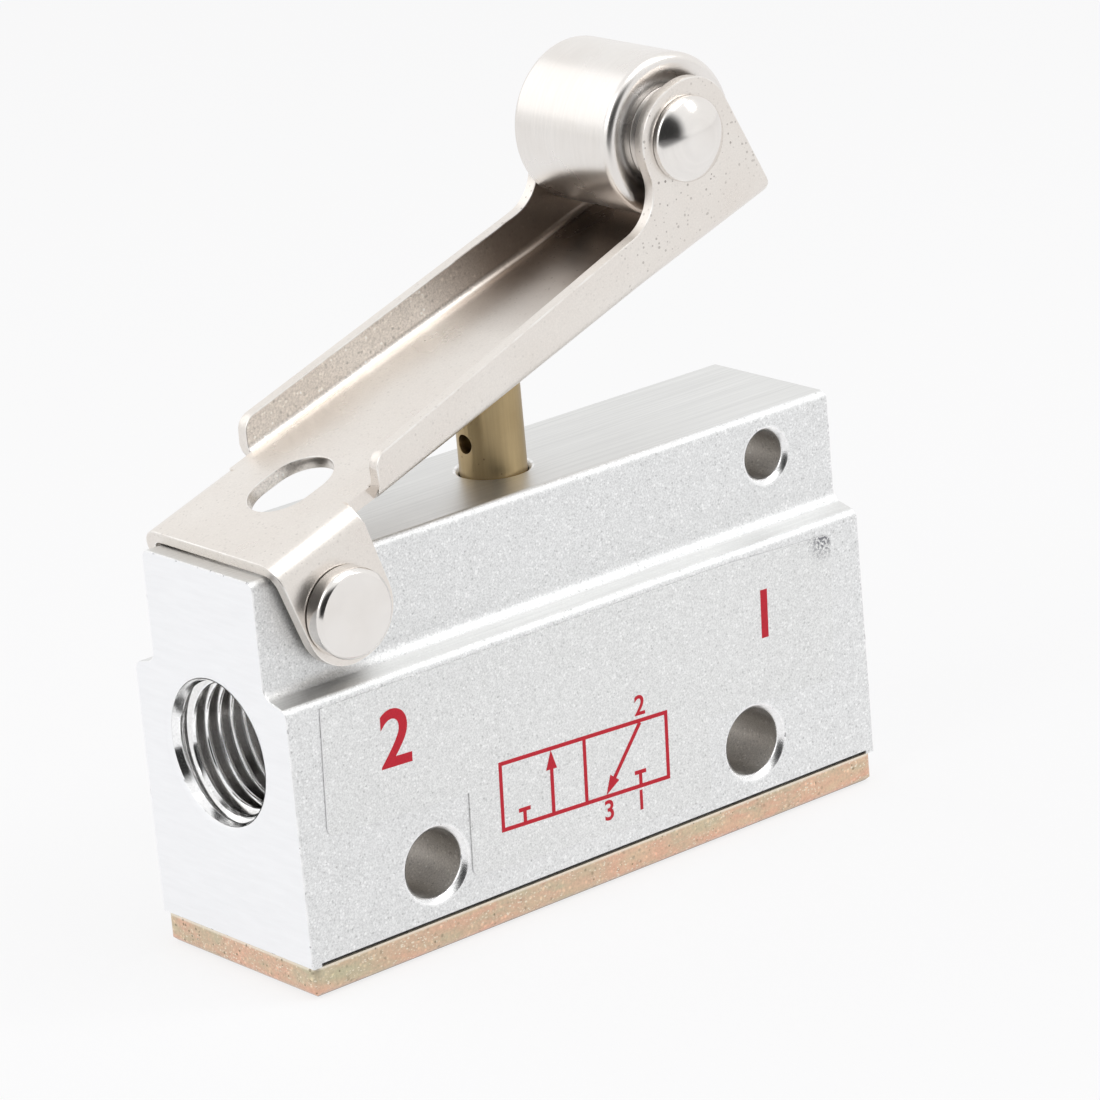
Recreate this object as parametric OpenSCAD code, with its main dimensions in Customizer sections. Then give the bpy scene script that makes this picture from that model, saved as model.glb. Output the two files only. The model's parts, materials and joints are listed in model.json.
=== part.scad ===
// Roller lever air valve: a three-port, two-position poppet valve in a stepped aluminium body.
// A stamped lever with a roller at its tip pushes a hollow brass plunger, which opens the poppet.
// The origin is the centre of the base plate's underside, +Z is up, the lever hinges at the -X end
// and the printed face looks along -Y. All sizes are in millimetres.

/* [Body] */
// Length of the body from port face to port face
body_l = 65; // [60:0.5:80]
// Width of the lower part of the body
body_w = 21.4; // [20:0.1:28]
// Height of the body above its gasket
body_h = 33.6; // [32:0.1:40]
// Width of the upper part that the lever straddles
neck_w = 15.6; // [13:0.1:18]
// Height of the upper part above the shoulder's outer edge
neck_h = 10.8; // [10:0.1:12]
// Rise of the shoulder towards the upper part, in degrees
ledge_slope = 14; // [5:1:20]
// Radius of the inner corner where the shoulder meets the upper part
ledge_fillet = 1.2; // [0.6:0.1:1.6]
// Radius of the body's long outer edges
body_edge_r = 0.8; // [0.6:0.1:1]
// Length of the foot at each end of the body, between which the gasket lies
foot_l = 1; // [0.8:0.1:1.5]

/* [Base] */
// Thickness of the steel base plate
plate_t = 2.9; // [1.5:0.1:4]
// Thickness of the rubber gasket under the body
gasket_t = 0.35; // [0.3:0.05:0.8]
// Distance that the gasket stays inside the sides of the base plate
gasket_inset = 0.3; // [0.1:0.1:0.6]
// Distance that the base plate stays inside the body's outline
plate_inset = 0.15; // [0.1:0.05:0.6]
// Radius of the base plate's upright corners
plate_corner_r = 0.9; // [0.5:0.1:2]
// Width of the bevel round the plate's lower edge
plate_bevel = 0.7; // [0.2:0.1:0.8]
// Thread diameter of the base screws
screw_d = 3; // [2:0.5:4]
// Head diameter of the base screws
screw_head_d = 5.6; // [5:0.1:6.4]
// Length of a base screw below its countersunk head
screw_l = 7; // [5:0.5:9]
// Size of the hexagon socket in a base screw, across its corners
screw_socket_d = 1.8; // [1.5:0.1:2.2]
// Distance of a screw from the end of the body
screw_end = 4.6; // [4:0.1:6]
// Distance of a screw from the side of the body
screw_side = 4.4; // [4:0.1:6]

/* [Ports] */
// Major diameter of the pipe thread in each end
port_d = 13.16; // [10:0.01:14]
// Depth of the port threads
port_depth = 12; // [10:0.5:14]
// Width of the bevel at the mouth of a port
port_bevel = 0.8; // [0.4:0.1:1.2]
// Depth of the bevel at the mouth of a port
port_bevel_depth = 0.2; // [0.2:0.05:1.2]
// Height of the ports above the body's underside
port_h = 16.8; // [15.5:0.1:18]
// Diameter of the drillings from the ports to the valve chambers
drilling_d = 3.6; // [2.5:0.1:4]
// Height of the outlet drilling over its port's centre line
outlet_rise = 3.6; // [3:0.1:4.4]
// Depth of the inlet drilling under its port's centre line
inlet_drop = 4.5; // [4.2:0.1:4.7]

/* [Mounting holes] */
// Diameter of the two cross holes for the mounting bolts
mount_d = 6; // [4:0.1:6.5]
// Distance between the mounting holes
mount_spacing = 36.8; // [32:0.1:42]
// Height of the mounting holes above the body's underside
mount_h = 4.75; // [4:0.05:6]
// Width of the bevel at each mouth of a mounting hole
mount_bevel = 0.55; // [0.2:0.05:0.8]

/* [Lever pivot] */
// Diameter of the pivot pin
pin_d = 4.2; // [3:0.1:5]
// Distance of the pivot hole, and of the spare hole for a reversed lever, from the end of the body
pivot_end = 7.7; // [6:0.1:9]
// Depth of the pivot axis below the top of the body
pivot_drop = 4.1; // [3.5:0.1:5]
// Width of the bevel at each mouth of a pivot hole
pivot_bevel = 0.5; // [0.2:0.05:0.8]
// Diameter of the pivot pin's flat head
pin_head_d = 7.9; // [6:0.1:9]
// Thickness of the pivot pin's flat head
pin_head_t = 1.9; // [1:0.1:3]
// Width of the bevel round the pin's head and rear end
pin_bevel = 0.4; // [0.1:0.05:0.5]
// Thickness of the clip on the pin's rear end
clip_t = 0.6; // [0.4:0.1:1]
// Outside diameter of the clip
clip_d = 8; // [7:0.1:9]
// Width of the clip's open side
clip_mouth = 3; // [2.4:0.1:3.2]
// Diameter of the relief notches inside the clip
clip_relief_d = 1.5; // [1:0.1:1.8]
// Angle between the clip's relief notches, in degrees
clip_relief_angle = 45; // [40:5:60]
// Depth of the pin's groove for the clip
clip_groove = 0.4; // [0.2:0.05:0.6]
// Length of pin behind the clip
pin_end = 0.8; // [0.5:0.1:2]

/* [Lever] */
// Thickness of the lever's sheet metal
sheet_t = 1.2; // [0.8:0.1:1.6]
// Slope of the lever at rest, in degrees
lever_angle = 18.6; // [14:0.2:22]
// Length of the tail from the pivot to its stop edge
tail_l = 4.4; // [3.5:0.1:5]
// Space between an ear of the lever and the body
ear_side_gap = 0.7; // [0.3:0.05:0.8]
// Space between the lower end of an ear and the shoulder
ear_foot_gap = 0.85; // [0.4:0.05:1.2]
// Reach of an ear from the pivot towards the arm
ear_front = 5.2; // [4.8:0.1:6]
// Lean of an ear's rear edge across the ear's height
ear_lean = 0.4; // [0:0.1:0.8]
// Radius of the round foot of an ear
ear_foot_r = 4.4; // [3:0.1:4.4]
// Inside radius of the bend from the web to an ear
ear_bend_r = 1.2; // [0.6:0.1:1.5]
// Width of the channel that the arm of the lever forms at the roller
channel_w = 17; // [16:0.1:18]
// Inside radius of the bends of the channel
channel_bend_r = 0.7; // [0.4:0.1:1.2]
// Angle by which each flange spreads outwards from the roller to the ears, in degrees
flange_spread = 2.2; // [1:0.1:3]
// Distance from the pivot at which the flanges begin to spread
spread_reach = 41; // [38:0.5:43]
// Length of the notch between the ears and the arm's flanges
notch_l = 2.5; // [2:0.1:5]
// Width of the web at the notch
notch_w = 16.6; // [15:0.1:17]
// Length over which the flanges rise at the notch
flange_ramp = 0.8; // [0.4:0.1:2]
// Radius of the upper corner of a flange at the notch
flange_end_r = 1.6; // [0.6:0.1:2.4]
// Height of the flanges at the notch, over the underside of the web
flange_low_h = 3.9; // [3:0.1:4.5]
// Height of the flanges at the neck, over the underside of the web
flange_high_h = 5; // [4:0.1:6]
// Radius of the neck where a flange rises to the roller
flange_neck_r = 4; // [2:0.1:5]
// Radius of the round top of a flange about the roller's axle
lobe_r = 4.9; // [4.2:0.1:6]
// Radius of the lobe's corner above the tip
lobe_corner_r = 4.4; // [3:0.1:5]
// Lean of the tip's edge across the height of a flange
tip_lean = 2.1; // [0.5:0.1:4]
// Radius of the lower corner at the tip
tip_r = 1; // [0.5:0.1:2]
// Length of the slot in the web
slot_l = 8.2; // [7:0.1:9]
// Width of the slot in the web
slot_w = 6.5; // [3:0.1:6.8]
// Distance of the slot's centre from the pivot along the web
slot_reach = 5.5; // [5:0.1:7]

/* [Roller] */
// Distance of the roller's axle from the pivot along the web
roller_reach = 50.2; // [46:0.2:56]
// Height of the roller's axle over the underside of the web
roller_rise = 9.8; // [9:0.1:12]
// Diameter of the roller
roller_d = 14.5; // [12:0.1:15.5]
// Width of the roller's running surface
roller_w = 13.4; // [9:0.1:13.6]
// Radius of the roller's rounded edges
roller_edge_r = 0.8; // [0.3:0.1:1.5]
// Diameter of the roller's hubs
roller_hub_d = 8.6; // [7:0.1:10]
// Depth of the dished ends of the roller
roller_dish = 0.6; // [0.2:0.1:1]
// Outside diameter of the washers between the roller and the flanges
washer_d = 9; // [8:0.1:9.6]
// Thickness of the washers
washer_t = 0.4; // [0.2:0.1:0.5]
// Side clearance between a hub of the roller and its washer
roller_side_gap = 0.1; // [0.05:0.05:0.3]
// Diameter of the riveted axle
axle_d = 4; // [3:0.1:4.5]
// Outside diameter of the sleeve that spaces the flanges and carries the roller
sleeve_d = 6; // [5:0.1:6.5]
// Diameter of the axle's riveted heads
axle_head_d = 7.6; // [6.5:0.1:9]
// Height of the straight rim of a riveted head
axle_rim_h = 0.6; // [0.3:0.1:1]
// Height of the dome of a riveted head above its rim
axle_dome_h = 1.4; // [0.8:0.1:2]

/* [Plunger] */
// Diameter of the plunger
plunger_d = 6; // [5:0.1:7]
// Radius of the plunger's domed end
dome_r = 6; // [4.5:0.1:9]
// Clearance between the plunger's dome and the lever
plunger_gap = 0.08; // [0.06:0.01:0.2]
// Length of the plunger's guide hole in the top of the body
guide_l = 6.1; // [5.5:0.1:7]
// Width of the bevel at the mouth of the guide hole
guide_bevel = 0.4; // [0.2:0.05:0.6]
// Diameter of the exhaust bore up the middle of the plunger
exhaust_d = 2.4; // [1.8:0.1:2.6]
// Diameter of the vent holes across the plunger
vent_d = 1.7; // [1:0.1:2]
// Height of the vent holes above the body
vent_rise = 2.9; // [2:0.1:4]
// Diameter of the collar that the return spring lifts
collar_d = 9.4; // [9:0.1:10]
// Thickness of the collar
collar_t = 1.4; // [1:0.1:2]
// Diameter of the plunger's nose below the collar
nose_d = 5; // [4.4:0.1:5.4]
// Section diameter of the plunger's seal ring
plunger_ring_d = 1; // [0.8:0.1:1.2]

/* [Valve chambers] */
// Diameter of the upper chamber, round the plunger's nose
upper_d = 11; // [10.5:0.1:12]
// Diameter of the lower chamber, round the poppet
lower_d = 14; // [13.5:0.1:15]
// Height of the valve seat's top face above the body's underside
seat_h = 16.5; // [16:0.1:18]
// Thickness of the valve seat
seat_t = 2.5; // [2.2:0.1:3]
// Diameter of the hole through the valve seat
seat_hole_d = 7.2; // [6.5:0.1:8]
// Height of the sealing lip under the valve seat
lip_h = 0.5; // [0.3:0.1:0.8]
// Width of the sealing lip
lip_w = 0.7; // [0.4:0.1:1]
// Section diameter of the seat's seal ring
seat_ring_d = 1.2; // [0.9:0.1:1.4]
// Open space between the plunger's nose and the poppet's seal at rest
exhaust_gap = 1.5; // [1:0.1:2]
// Diameter of the poppet's rubber seal
seal_d = 9.4; // [9:0.1:10]
// Thickness of the poppet's rubber seal
seal_t = 1.6; // [1:0.1:2.5]
// Height that the rubber seal stands out of its cup
seal_proud = 0.3; // [0.1:0.1:0.6]
// Wall of the poppet's cup round the seal
cup_wall = 0.6; // [0.4:0.1:0.8]
// Thickness of the poppet's floor and of its spring flange
poppet_floor = 1.2; // [0.8:0.1:2]
// Length of the poppet's spigot inside its spring
spigot_l = 1.4; // [1:0.1:2]
// Diameter of the flow notches in the poppet's flange
flow_notch_d = 3.2; // [2:0.1:3.6]
// Number of the flow notches in the poppet's flange
flow_notches = 4; // [3:1:5]

/* [Springs] */
// Wire diameter of the plunger's return spring
return_wire = 0.7; // [0.5:0.05:0.9]
// Turns of the plunger's return spring
return_turns = 6; // [5:0.5:7]
// Wire diameter of the poppet's spring
poppet_wire = 0.9; // [0.6:0.05:1.1]
// Turns of the poppet's spring
poppet_turns = 5; // [4.5:0.5:6]

/* [Label] */
// Thickness of the label film
label_t = 0.1; // [0.05:0.01:0.2]
// Length of the label
label_l = 58; // [50:0.2:59]
// Length of the label's lower part between the mounting holes
label_low_l = 27.4; // [24:0.2:28]
// Height of the label's upper part
label_high = 13.6; // [13:0.1:13.8]
// Height of the label's lower part
label_low = 7.7; // [6:0.1:8]
// Distance of the label's upper right corner below the shoulder
label_drop = 1.2; // [0.8:0.1:1.5]
// Tilt of the label as it was stuck on, in degrees
label_tilt = -2.8; // [-3:0.1:0]
// Width of the label's cut upper left corner
label_cut = 2.2; // [1:0.1:4]
// Corner radius of the label
label_r = 0.8; // [0.3:0.1:1.5]

/* [Fits] */
// Radial clearance of running fits
run_gap = 0.05; // [0.03:0.01:0.1]
// Clearance between pieces that are seated, pressed or screwed together
seat_gap = 0.02; // [0.01:0.01:0.03]
// Side play of the lever on its pin
pin_play = 0.1; // [0.05:0.05:0.2]
// Clearance between the lever's tail and the top of the body at rest
tail_gap = 0.09; // [0.05:0.01:0.2]
// Clearance between the plunger's collar and the roof of its chamber at rest
collar_gap = 0.1; // [0.05:0.05:0.3]
// Clearance round the poppet's flange and the springs' coils
loose_gap = 0.15; // [0.1:0.05:0.3]

/* [Hidden] */

$fn = 48;
// Length by which a cut runs past the face that it opens
over = 1;
// Straight pieces that make up one rounded corner of an outline
corner_steps = 12;
// Rings for each turn, and sides, of a spring's wire
coil_steps = 18;
coil_sides = 8;

base_t = plate_t + gasket_t;
foot_z = plate_t + seat_gap;
body_top = base_t + body_h;
shoulder_z = body_top - neck_h;
ledge_run = (body_w - neck_w) / 2;
ledge_z = shoulder_z + ledge_run * tan(ledge_slope);

port_z = base_t + port_h;
mount_z = base_t + mount_h;
pivot_x = body_l / 2 - pivot_end;
pivot_z = body_top - pivot_drop;
pivot_hole_d = pin_d + 2 * run_gap;

plate_l = body_l - 2 * plate_inset;
plate_w = body_w - 2 * plate_inset;
gasket_l = body_l - 2 * foot_l - 2 * seat_gap;
gasket_w = plate_w - 2 * gasket_inset;
screw_x = body_l / 2 - screw_end;
screw_y = body_w / 2 - screw_side;
screw_hole_d = screw_d + 2 * seat_gap;

// The tail's lower edge stops on the body, which sets the web's height over the pivot
web_low = (pivot_drop + tail_gap + tail_l * sin(lever_angle)) / cos(lever_angle);
web_high = web_low + sheet_t;
ear_in = neck_w / 2 + ear_side_gap;
ear_out = ear_in + sheet_t;
ear_drop = pivot_z - ledge_z - ear_foot_gap;
flange_out = channel_w / 2;
flange_in = flange_out - sheet_t;
flange_start = ear_front + notch_l;
spread_l = spread_reach - flange_start;
roller_w_pos = web_low + roller_rise;
lobe_left = roller_reach - lobe_r;
lobe_top = roller_w_pos + lobe_r;
tip_reach = roller_reach + lobe_r + tip_lean;
axle_hole_d = axle_d + 2 * seat_gap;
sleeve_bore_d = axle_d + 2 * seat_gap;
roller_bore_d = sleeve_d + 2 * run_gap;
washer_out = flange_in - seat_gap;
roller_hub_half = washer_out - washer_t - roller_side_gap;

// The dome touches the sloping web from below, at the middle of the body
dome_centre = pivot_z + (web_low - dome_r + pivot_x * sin(lever_angle)) / cos(lever_angle) - plunger_gap;
guide_d = plunger_d + 2 * run_gap;
roof_z = body_top - guide_l;
collar_z = roof_z - collar_gap - collar_t;
plunger_groove_d = guide_d - 2 * plunger_ring_d - 2 * seat_gap;
plunger_groove_w = plunger_ring_d + 4 * seat_gap;
plunger_ring_z = body_top - guide_bevel - plunger_groove_w;
vent_z = body_top + vent_rise;

seat_z = base_t + seat_h;
seat_low_z = seat_z - seat_t;
seat_od = lower_d - 2 * seat_gap;
seat_groove_d = lower_d - 2 * seat_ring_d - 4 * seat_gap;
seat_groove_w = seat_ring_d + 4 * seat_gap;
seat_mid_z = seat_low_z + seat_t / 2;
seal_z = seat_low_z - lip_h - seat_gap;
seal_low_z = seal_z - seal_t;
cup_d = seal_d + 2 * seat_gap + 2 * cup_wall;
flange_d = lower_d - 2 * loose_gap;
flange_z = seal_low_z - seat_gap - poppet_floor;
spigot_d = lower_d - 4 * loose_gap - 2 * poppet_wire - 2 * loose_gap;
nose_z = seal_z + exhaust_gap;

return_mean_d = nose_d + 2 * loose_gap + return_wire;
poppet_mean_d = lower_d - 4 * loose_gap - poppet_wire;

// The label ends where the shoulder's rounded edge begins
label_top = shoulder_z - body_edge_r * tan((90 - ledge_slope) / 2);

// Unit vector along v
function unit(v) = v / norm(v);

// Points on the shorter arc about a centre, from one point to another
function arc_points(centre, from, to) =
    let (a0 = atan2(from.y - centre.y, from.x - centre.x))
    let (a1 = atan2(to.y - centre.y, to.x - centre.x))
    let (turn = (a1 - a0 + 540) % 360 - 180)
    [for (k = [0 : corner_steps])
        let (a = a0 + turn * k / corner_steps)
        centre + norm(from - centre) * [cos(a), sin(a)]];

// Corner b between its neighbours a and c, rounded to the radius r
function round_corner(a, b, c, r) =
    let (to_a = unit(a - b))
    let (to_c = unit(c - b))
    let (half = acos(to_a * to_c) / 2)
    r <= 0 ? [b] : arc_points(
        b + unit(to_a + to_c) * r / sin(half),
        b + to_a * r / tan(half),
        b + to_c * r / tan(half));

// Closed outline from corners given as [x, y, radius]
function rounded_outline(corners) =
    let (n = len(corners))
    let (flat = [for (c = corners) [c.x, c.y]])
    [for (i = [0 : n - 1])
        each round_corner(flat[(i + n - 1) % n], flat[i], flat[(i + 1) % n], corners[i][2])];

// Corners of a rectangle about the origin, all with one radius
function rectangle_corners(l, w, r) =
    [for (s = [[1, 1], [-1, 1], [-1, -1], [1, -1]]) [s.x * l / 2, s.y * w / 2, r]];

// Extrudes a (y, z) outline along X, from one end to the other
module along_x(from, to) {
    translate([from, 0, 0])
        rotate([90, 0, 90])
            linear_extrude(to - from)
                children();
}

// Extrudes an (x, z) outline along Y, centred on the body's middle plane
module along_y(length) {
    rotate([90, 0, 0])
        linear_extrude(length, center = true)
            children();
}

// Cross hole through two parallel faces, bevelled at both mouths
module cross_hole(x, z, d, bevel, width) {
    translate([x, 0, z]) {
        rotate([90, 0, 0])
            cylinder(d = d, h = width + 2 * over, center = true);
        for (side = [-90, 90])
            rotate([side, 0, 0])
                translate([0, 0, width / 2 - bevel])
                    cylinder(d1 = d, d2 = d + 2 * (bevel + over), h = bevel + over);
    }
}

// Places children on the pivot axis, with their +Z towards the printed face
module on_pivot() {
    translate([-pivot_x, 0, pivot_z])
        rotate([90, 0, 0])
            children();
}

// Places children in the lever's own frame: pivot at the origin, +X along the web
module on_lever() {
    translate([-pivot_x, 0, pivot_z])
        rotate([0, -lever_angle, 0])
            children();
}

// Places children on the roller's axis, with their +Z towards the printed face
module on_axle() {
    on_lever()
        translate([roller_reach, 0, roller_w_pos])
            rotate([90, 0, 0])
                children();
}

// Coil of round wire between two flat seats, with a closed turn at each end
module coil_spring(mean_d, wire_d, low, high, turns) {
    rings = ceil(turns * coil_steps);
    active = high - low - 3 * wire_d;
    function coil_rise(t) =
        wire_d * min(t, 1)
        + active * min(max(t - 1, 0), turns - 2) / (turns - 2)
        + wire_d * max(t - turns + 1, 0);
    points = [for (i = [0 : rings]) for (k = [0 : coil_sides - 1])
        let (t = turns * i / rings)
        let (r = (mean_d + wire_d * cos(360 * k / coil_sides)) / 2)
        [
            r * cos(360 * t),
            r * sin(360 * t),
            low + wire_d / 2 + coil_rise(t) + wire_d / 2 * sin(360 * k / coil_sides)
        ]];
    walls = [for (i = [0 : rings - 1]) for (k = [0 : coil_sides - 1])
        let (a = i * coil_sides + k)
        let (b = i * coil_sides + (k + 1) % coil_sides)
        [a, b, b + coil_sides, a + coil_sides]];
    start_cap = [for (k = [coil_sides - 1 : -1 : 0]) k];
    end_cap = [for (k = [0 : coil_sides - 1]) rings * coil_sides + k];
    polyhedron(points, concat([start_cap], walls, [end_cap]), convexity = 8);
}

// Rubber ring of round section
module seal_ring(mean_d, section_d, z) {
    translate([0, 0, z])
        rotate_extrude()
            translate([mean_d / 2, 0])
                circle(d = section_d);
}

// Outline of the body across its length: a wide foot, a sloping shoulder and a narrow top
module body_outline() {
    right_side = [
        [body_w / 2, foot_z, 0],
        [body_w / 2, shoulder_z, body_edge_r],
        [neck_w / 2, ledge_z, ledge_fillet],
        [neck_w / 2, body_top, body_edge_r]
    ];
    left_side = [for (i = [len(right_side) - 1 : -1 : 0])
        [-right_side[i].x, right_side[i].y, right_side[i][2]]];
    polygon(rounded_outline(concat(right_side, left_side)));
}

// Pipe port in one end of the body, with its drilling towards the valve chambers
module port(side, drilling_z) {
    mouth_d = port_d + 2 * port_bevel * (1 + over / port_bevel_depth);
    translate([side * body_l / 2, 0, port_z])
        rotate([0, -side * 90, 0]) {
            translate([0, 0, -over])
                cylinder(d = port_d, h = port_depth + over);
            translate([0, 0, -over])
                cylinder(d1 = mouth_d, d2 = port_d, h = port_bevel_depth + over);
        }
    translate([0, 0, drilling_z])
        rotate([0, side * 90, 0])
            cylinder(d = drilling_d, h = body_l / 2 - port_depth + seat_gap);
}

module valve_body() {
    color([0.80, 0.81, 0.82])
        difference() {
            along_x(-body_l / 2, body_l / 2)
                body_outline();
            translate([foot_l - body_l / 2, -body_w / 2 - over, foot_z - over])
                cube([body_l - 2 * foot_l, body_w + 2 * over, base_t - foot_z + over]);
            port(-1, port_z + outlet_rise);
            port(1, port_z - inlet_drop);
            translate([0, 0, base_t - over])
                cylinder(d = lower_d, h = seat_h + over);
            translate([0, 0, seat_z - over])
                cylinder(d = upper_d, h = roof_z - seat_z + over);
            translate([0, 0, roof_z - over])
                cylinder(d = guide_d, h = guide_l + 2 * over);
            translate([0, 0, body_top - guide_bevel])
                cylinder(d1 = guide_d, d2 = guide_d + 2 * (guide_bevel + over), h = guide_bevel + over);
            for (x = [-mount_spacing / 2, mount_spacing / 2])
                cross_hole(x, mount_z, mount_d, mount_bevel, body_w);
            for (x = [-pivot_x, pivot_x])
                cross_hole(x, pivot_z, pivot_hole_d, pivot_bevel, neck_w);
            at_screws()
                translate([0, 0, base_t - over])
                    cylinder(d = screw_hole_d, h = screw_l - base_t + 2 * over);
        }
}

// Places children at the four base screws, on the base plate's underside
module at_screws() {
    for (x = [-screw_x, screw_x])
        for (y = [-screw_y, screw_y])
            translate([x, y, 0])
                children();
}

// Countersunk form of a base screw, grown by a clearance
module screw_form(gap) {
    cone_h = (screw_head_d - screw_d) / 2;
    translate([0, 0, seat_gap])
        cylinder(d1 = screw_head_d + 2 * gap, d2 = screw_d + 2 * gap, h = cone_h);
    translate([0, 0, seat_gap])
        cylinder(d = screw_d + 2 * gap, h = screw_l);
}

// Section across the base plate, bevelled at its lower edges
function plate_section(width) = [
    [width / 2, plate_t], [-width / 2, plate_t], [-width / 2, plate_bevel],
    [plate_bevel - width / 2, 0], [width / 2 - plate_bevel, 0], [width / 2, plate_bevel]
];

module base_plate() {
    color([0.85, 0.66, 0.48])
        difference() {
            intersection() {
                linear_extrude(plate_t)
                    polygon(rounded_outline(rectangle_corners(plate_l, plate_w, plate_corner_r)));
                along_x(-plate_l / 2, plate_l / 2)
                    polygon(plate_section(plate_w));
                along_y(plate_w)
                    polygon(plate_section(plate_l));
            }
            at_screws() {
                screw_form(seat_gap);
                translate([0, 0, -over])
                    cylinder(d = screw_head_d + 2 * seat_gap, h = over + seat_gap);
            }
        }
}

module base_gasket() {
    color([0.07, 0.07, 0.07])
        translate([0, 0, plate_t])
            linear_extrude(gasket_t)
                difference() {
                    square([gasket_l, gasket_w], center = true);
                    circle(d = lower_d);
                    at_screws()
                        circle(d = screw_hole_d);
                }
}

module base_screws() {
    socket_depth = (screw_head_d - screw_d) / 2;
    color([0.62, 0.60, 0.52])
        at_screws()
            difference() {
                screw_form(0);
                translate([0, 0, seat_gap - over])
                    cylinder(d = screw_socket_d, h = socket_depth + over, $fn = 6);
            }
}

module valve_seat() {
    color([0.78, 0.62, 0.32])
        difference() {
            union() {
                translate([0, 0, seat_low_z])
                    cylinder(d = seat_od, h = seat_t - seat_gap);
                translate([0, 0, seat_low_z - lip_h])
                    cylinder(d = seat_hole_d + 2 * lip_w, h = lip_h + seat_t / 2);
            }
            translate([0, 0, seat_low_z - lip_h - over])
                cylinder(d = seat_hole_d, h = seat_t + lip_h + 2 * over);
            translate([0, 0, seat_mid_z - seat_groove_w / 2])
                difference() {
                    cylinder(d = lower_d + over, h = seat_groove_w);
                    cylinder(d = seat_groove_d, h = seat_groove_w);
                }
        }
}

module seat_ring() {
    color([0.10, 0.10, 0.10])
        seal_ring(lower_d - seat_ring_d - 2 * seat_gap, seat_ring_d, seat_mid_z);
}

module poppet() {
    color([0.75, 0.60, 0.30])
        difference() {
            union() {
                translate([0, 0, flange_z])
                    cylinder(d = cup_d, h = seal_z - seal_proud - flange_z);
                translate([0, 0, flange_z])
                    difference() {
                        cylinder(d = flange_d, h = poppet_floor);
                        for (i = [0 : flow_notches - 1])
                            rotate([0, 0, 360 * i / flow_notches])
                                translate([flange_d / 2, 0, -over])
                                    cylinder(d = flow_notch_d, h = poppet_floor + 2 * over);
                    }
                translate([0, 0, flange_z - spigot_l])
                    cylinder(d = spigot_d, h = spigot_l + poppet_floor / 2);
            }
            translate([0, 0, seal_low_z - seat_gap])
                cylinder(d = seal_d + 2 * seat_gap, h = seal_t + over);
        }
}

module poppet_seal() {
    color([0.14, 0.14, 0.14])
        translate([0, 0, seal_low_z])
            cylinder(d = seal_d, h = seal_t);
}

module poppet_spring() {
    color([0.70, 0.71, 0.72])
        coil_spring(poppet_mean_d, poppet_wire, plate_t + seat_gap, flange_z - seat_gap, poppet_turns);
}

module plunger() {
    groove_low = plunger_ring_z;
    color([0.72, 0.58, 0.32])
        difference() {
            union() {
                intersection() {
                    translate([0, 0, collar_z])
                        cylinder(d = plunger_d, h = dome_centre + dome_r - collar_z);
                    union() {
                        translate([0, 0, dome_centre])
                            sphere(r = dome_r, $fn = 96);
                        translate([0, 0, collar_z])
                            cylinder(d = plunger_d + over, h = dome_centre - collar_z);
                    }
                }
                translate([0, 0, collar_z])
                    cylinder(d = collar_d, h = collar_t);
                translate([0, 0, nose_z])
                    cylinder(d = nose_d, h = collar_z - nose_z + collar_t / 2);
            }
            translate([0, 0, nose_z - over])
                cylinder(d = exhaust_d, h = vent_z + vent_d / 2 - nose_z + over);
            translate([0, 0, vent_z])
                rotate([0, 90, 0])
                    cylinder(d = vent_d, h = plunger_d + 2 * over, center = true);
            translate([0, 0, groove_low])
                difference() {
                    cylinder(d = plunger_d + over, h = plunger_groove_w);
                    cylinder(d = plunger_groove_d, h = plunger_groove_w);
                }
        }
}

module plunger_ring() {
    color([0.10, 0.10, 0.10])
        seal_ring(guide_d - plunger_ring_d - seat_gap, plunger_ring_d, plunger_ring_z + plunger_groove_w / 2);
}

module return_spring() {
    color([0.70, 0.71, 0.72])
        coil_spring(return_mean_d, return_wire, seat_z + seat_gap, collar_z - seat_gap, return_turns);
}

// Side view of an ear, from the tail's straight edge to its round foot
module ear_outline() {
    polygon(rounded_outline([
        [-tail_l, web_high, 0], [ear_lean - tail_l, -ear_drop, ear_foot_r],
        [ear_front, -ear_drop, ear_foot_r], [ear_front, web_high, 0]
    ]));
}

// Section through the ears: the web with a wide bend down each side
module ear_section() {
    low = -ear_drop - over;
    bend_out = ear_bend_r + sheet_t;
    polygon(rounded_outline([
        [-ear_out, low, 0], [-ear_out, web_high, bend_out],
        [ear_out, web_high, bend_out], [ear_out, low, 0],
        [ear_in, low, 0], [ear_in, web_low, ear_bend_r],
        [-ear_in, web_low, ear_bend_r], [-ear_in, low, 0]
    ]));
}

// Side view of the arm: a ramp, a rising edge, a neck and a round lobe over the leaning tip
module arm_outline() {
    polygon(rounded_outline([
        [flange_start, web_low, 0],
        [flange_start, web_high, 0],
        [flange_start + flange_ramp, web_low + flange_low_h, flange_end_r],
        [lobe_left, web_low + flange_high_h, flange_neck_r],
        [lobe_left, lobe_top, lobe_r],
        [roller_reach + lobe_r, lobe_top, lobe_corner_r],
        [tip_reach, web_low, tip_r]
    ]));
}

// Section through one side of the arm, from past its middle to the outer face of the flange, which
// is at 0; narrowed so that a side that turns by an angle meets the straight one
function arm_side(turn) =
    let (high = lobe_top + over)
    let (bend_out = channel_bend_r + sheet_t)
    let (corners = [
        [-flange_in / 2, web_low, 0], [flange_out, web_low, bend_out], [flange_out, high, 0],
        [flange_in, high, 0], [flange_in, web_high, channel_bend_r], [-flange_in / 2, web_high, 0]])
    [for (p = rounded_outline(corners)) [(p.x - flange_out) * cos(turn), p.y]];

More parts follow.
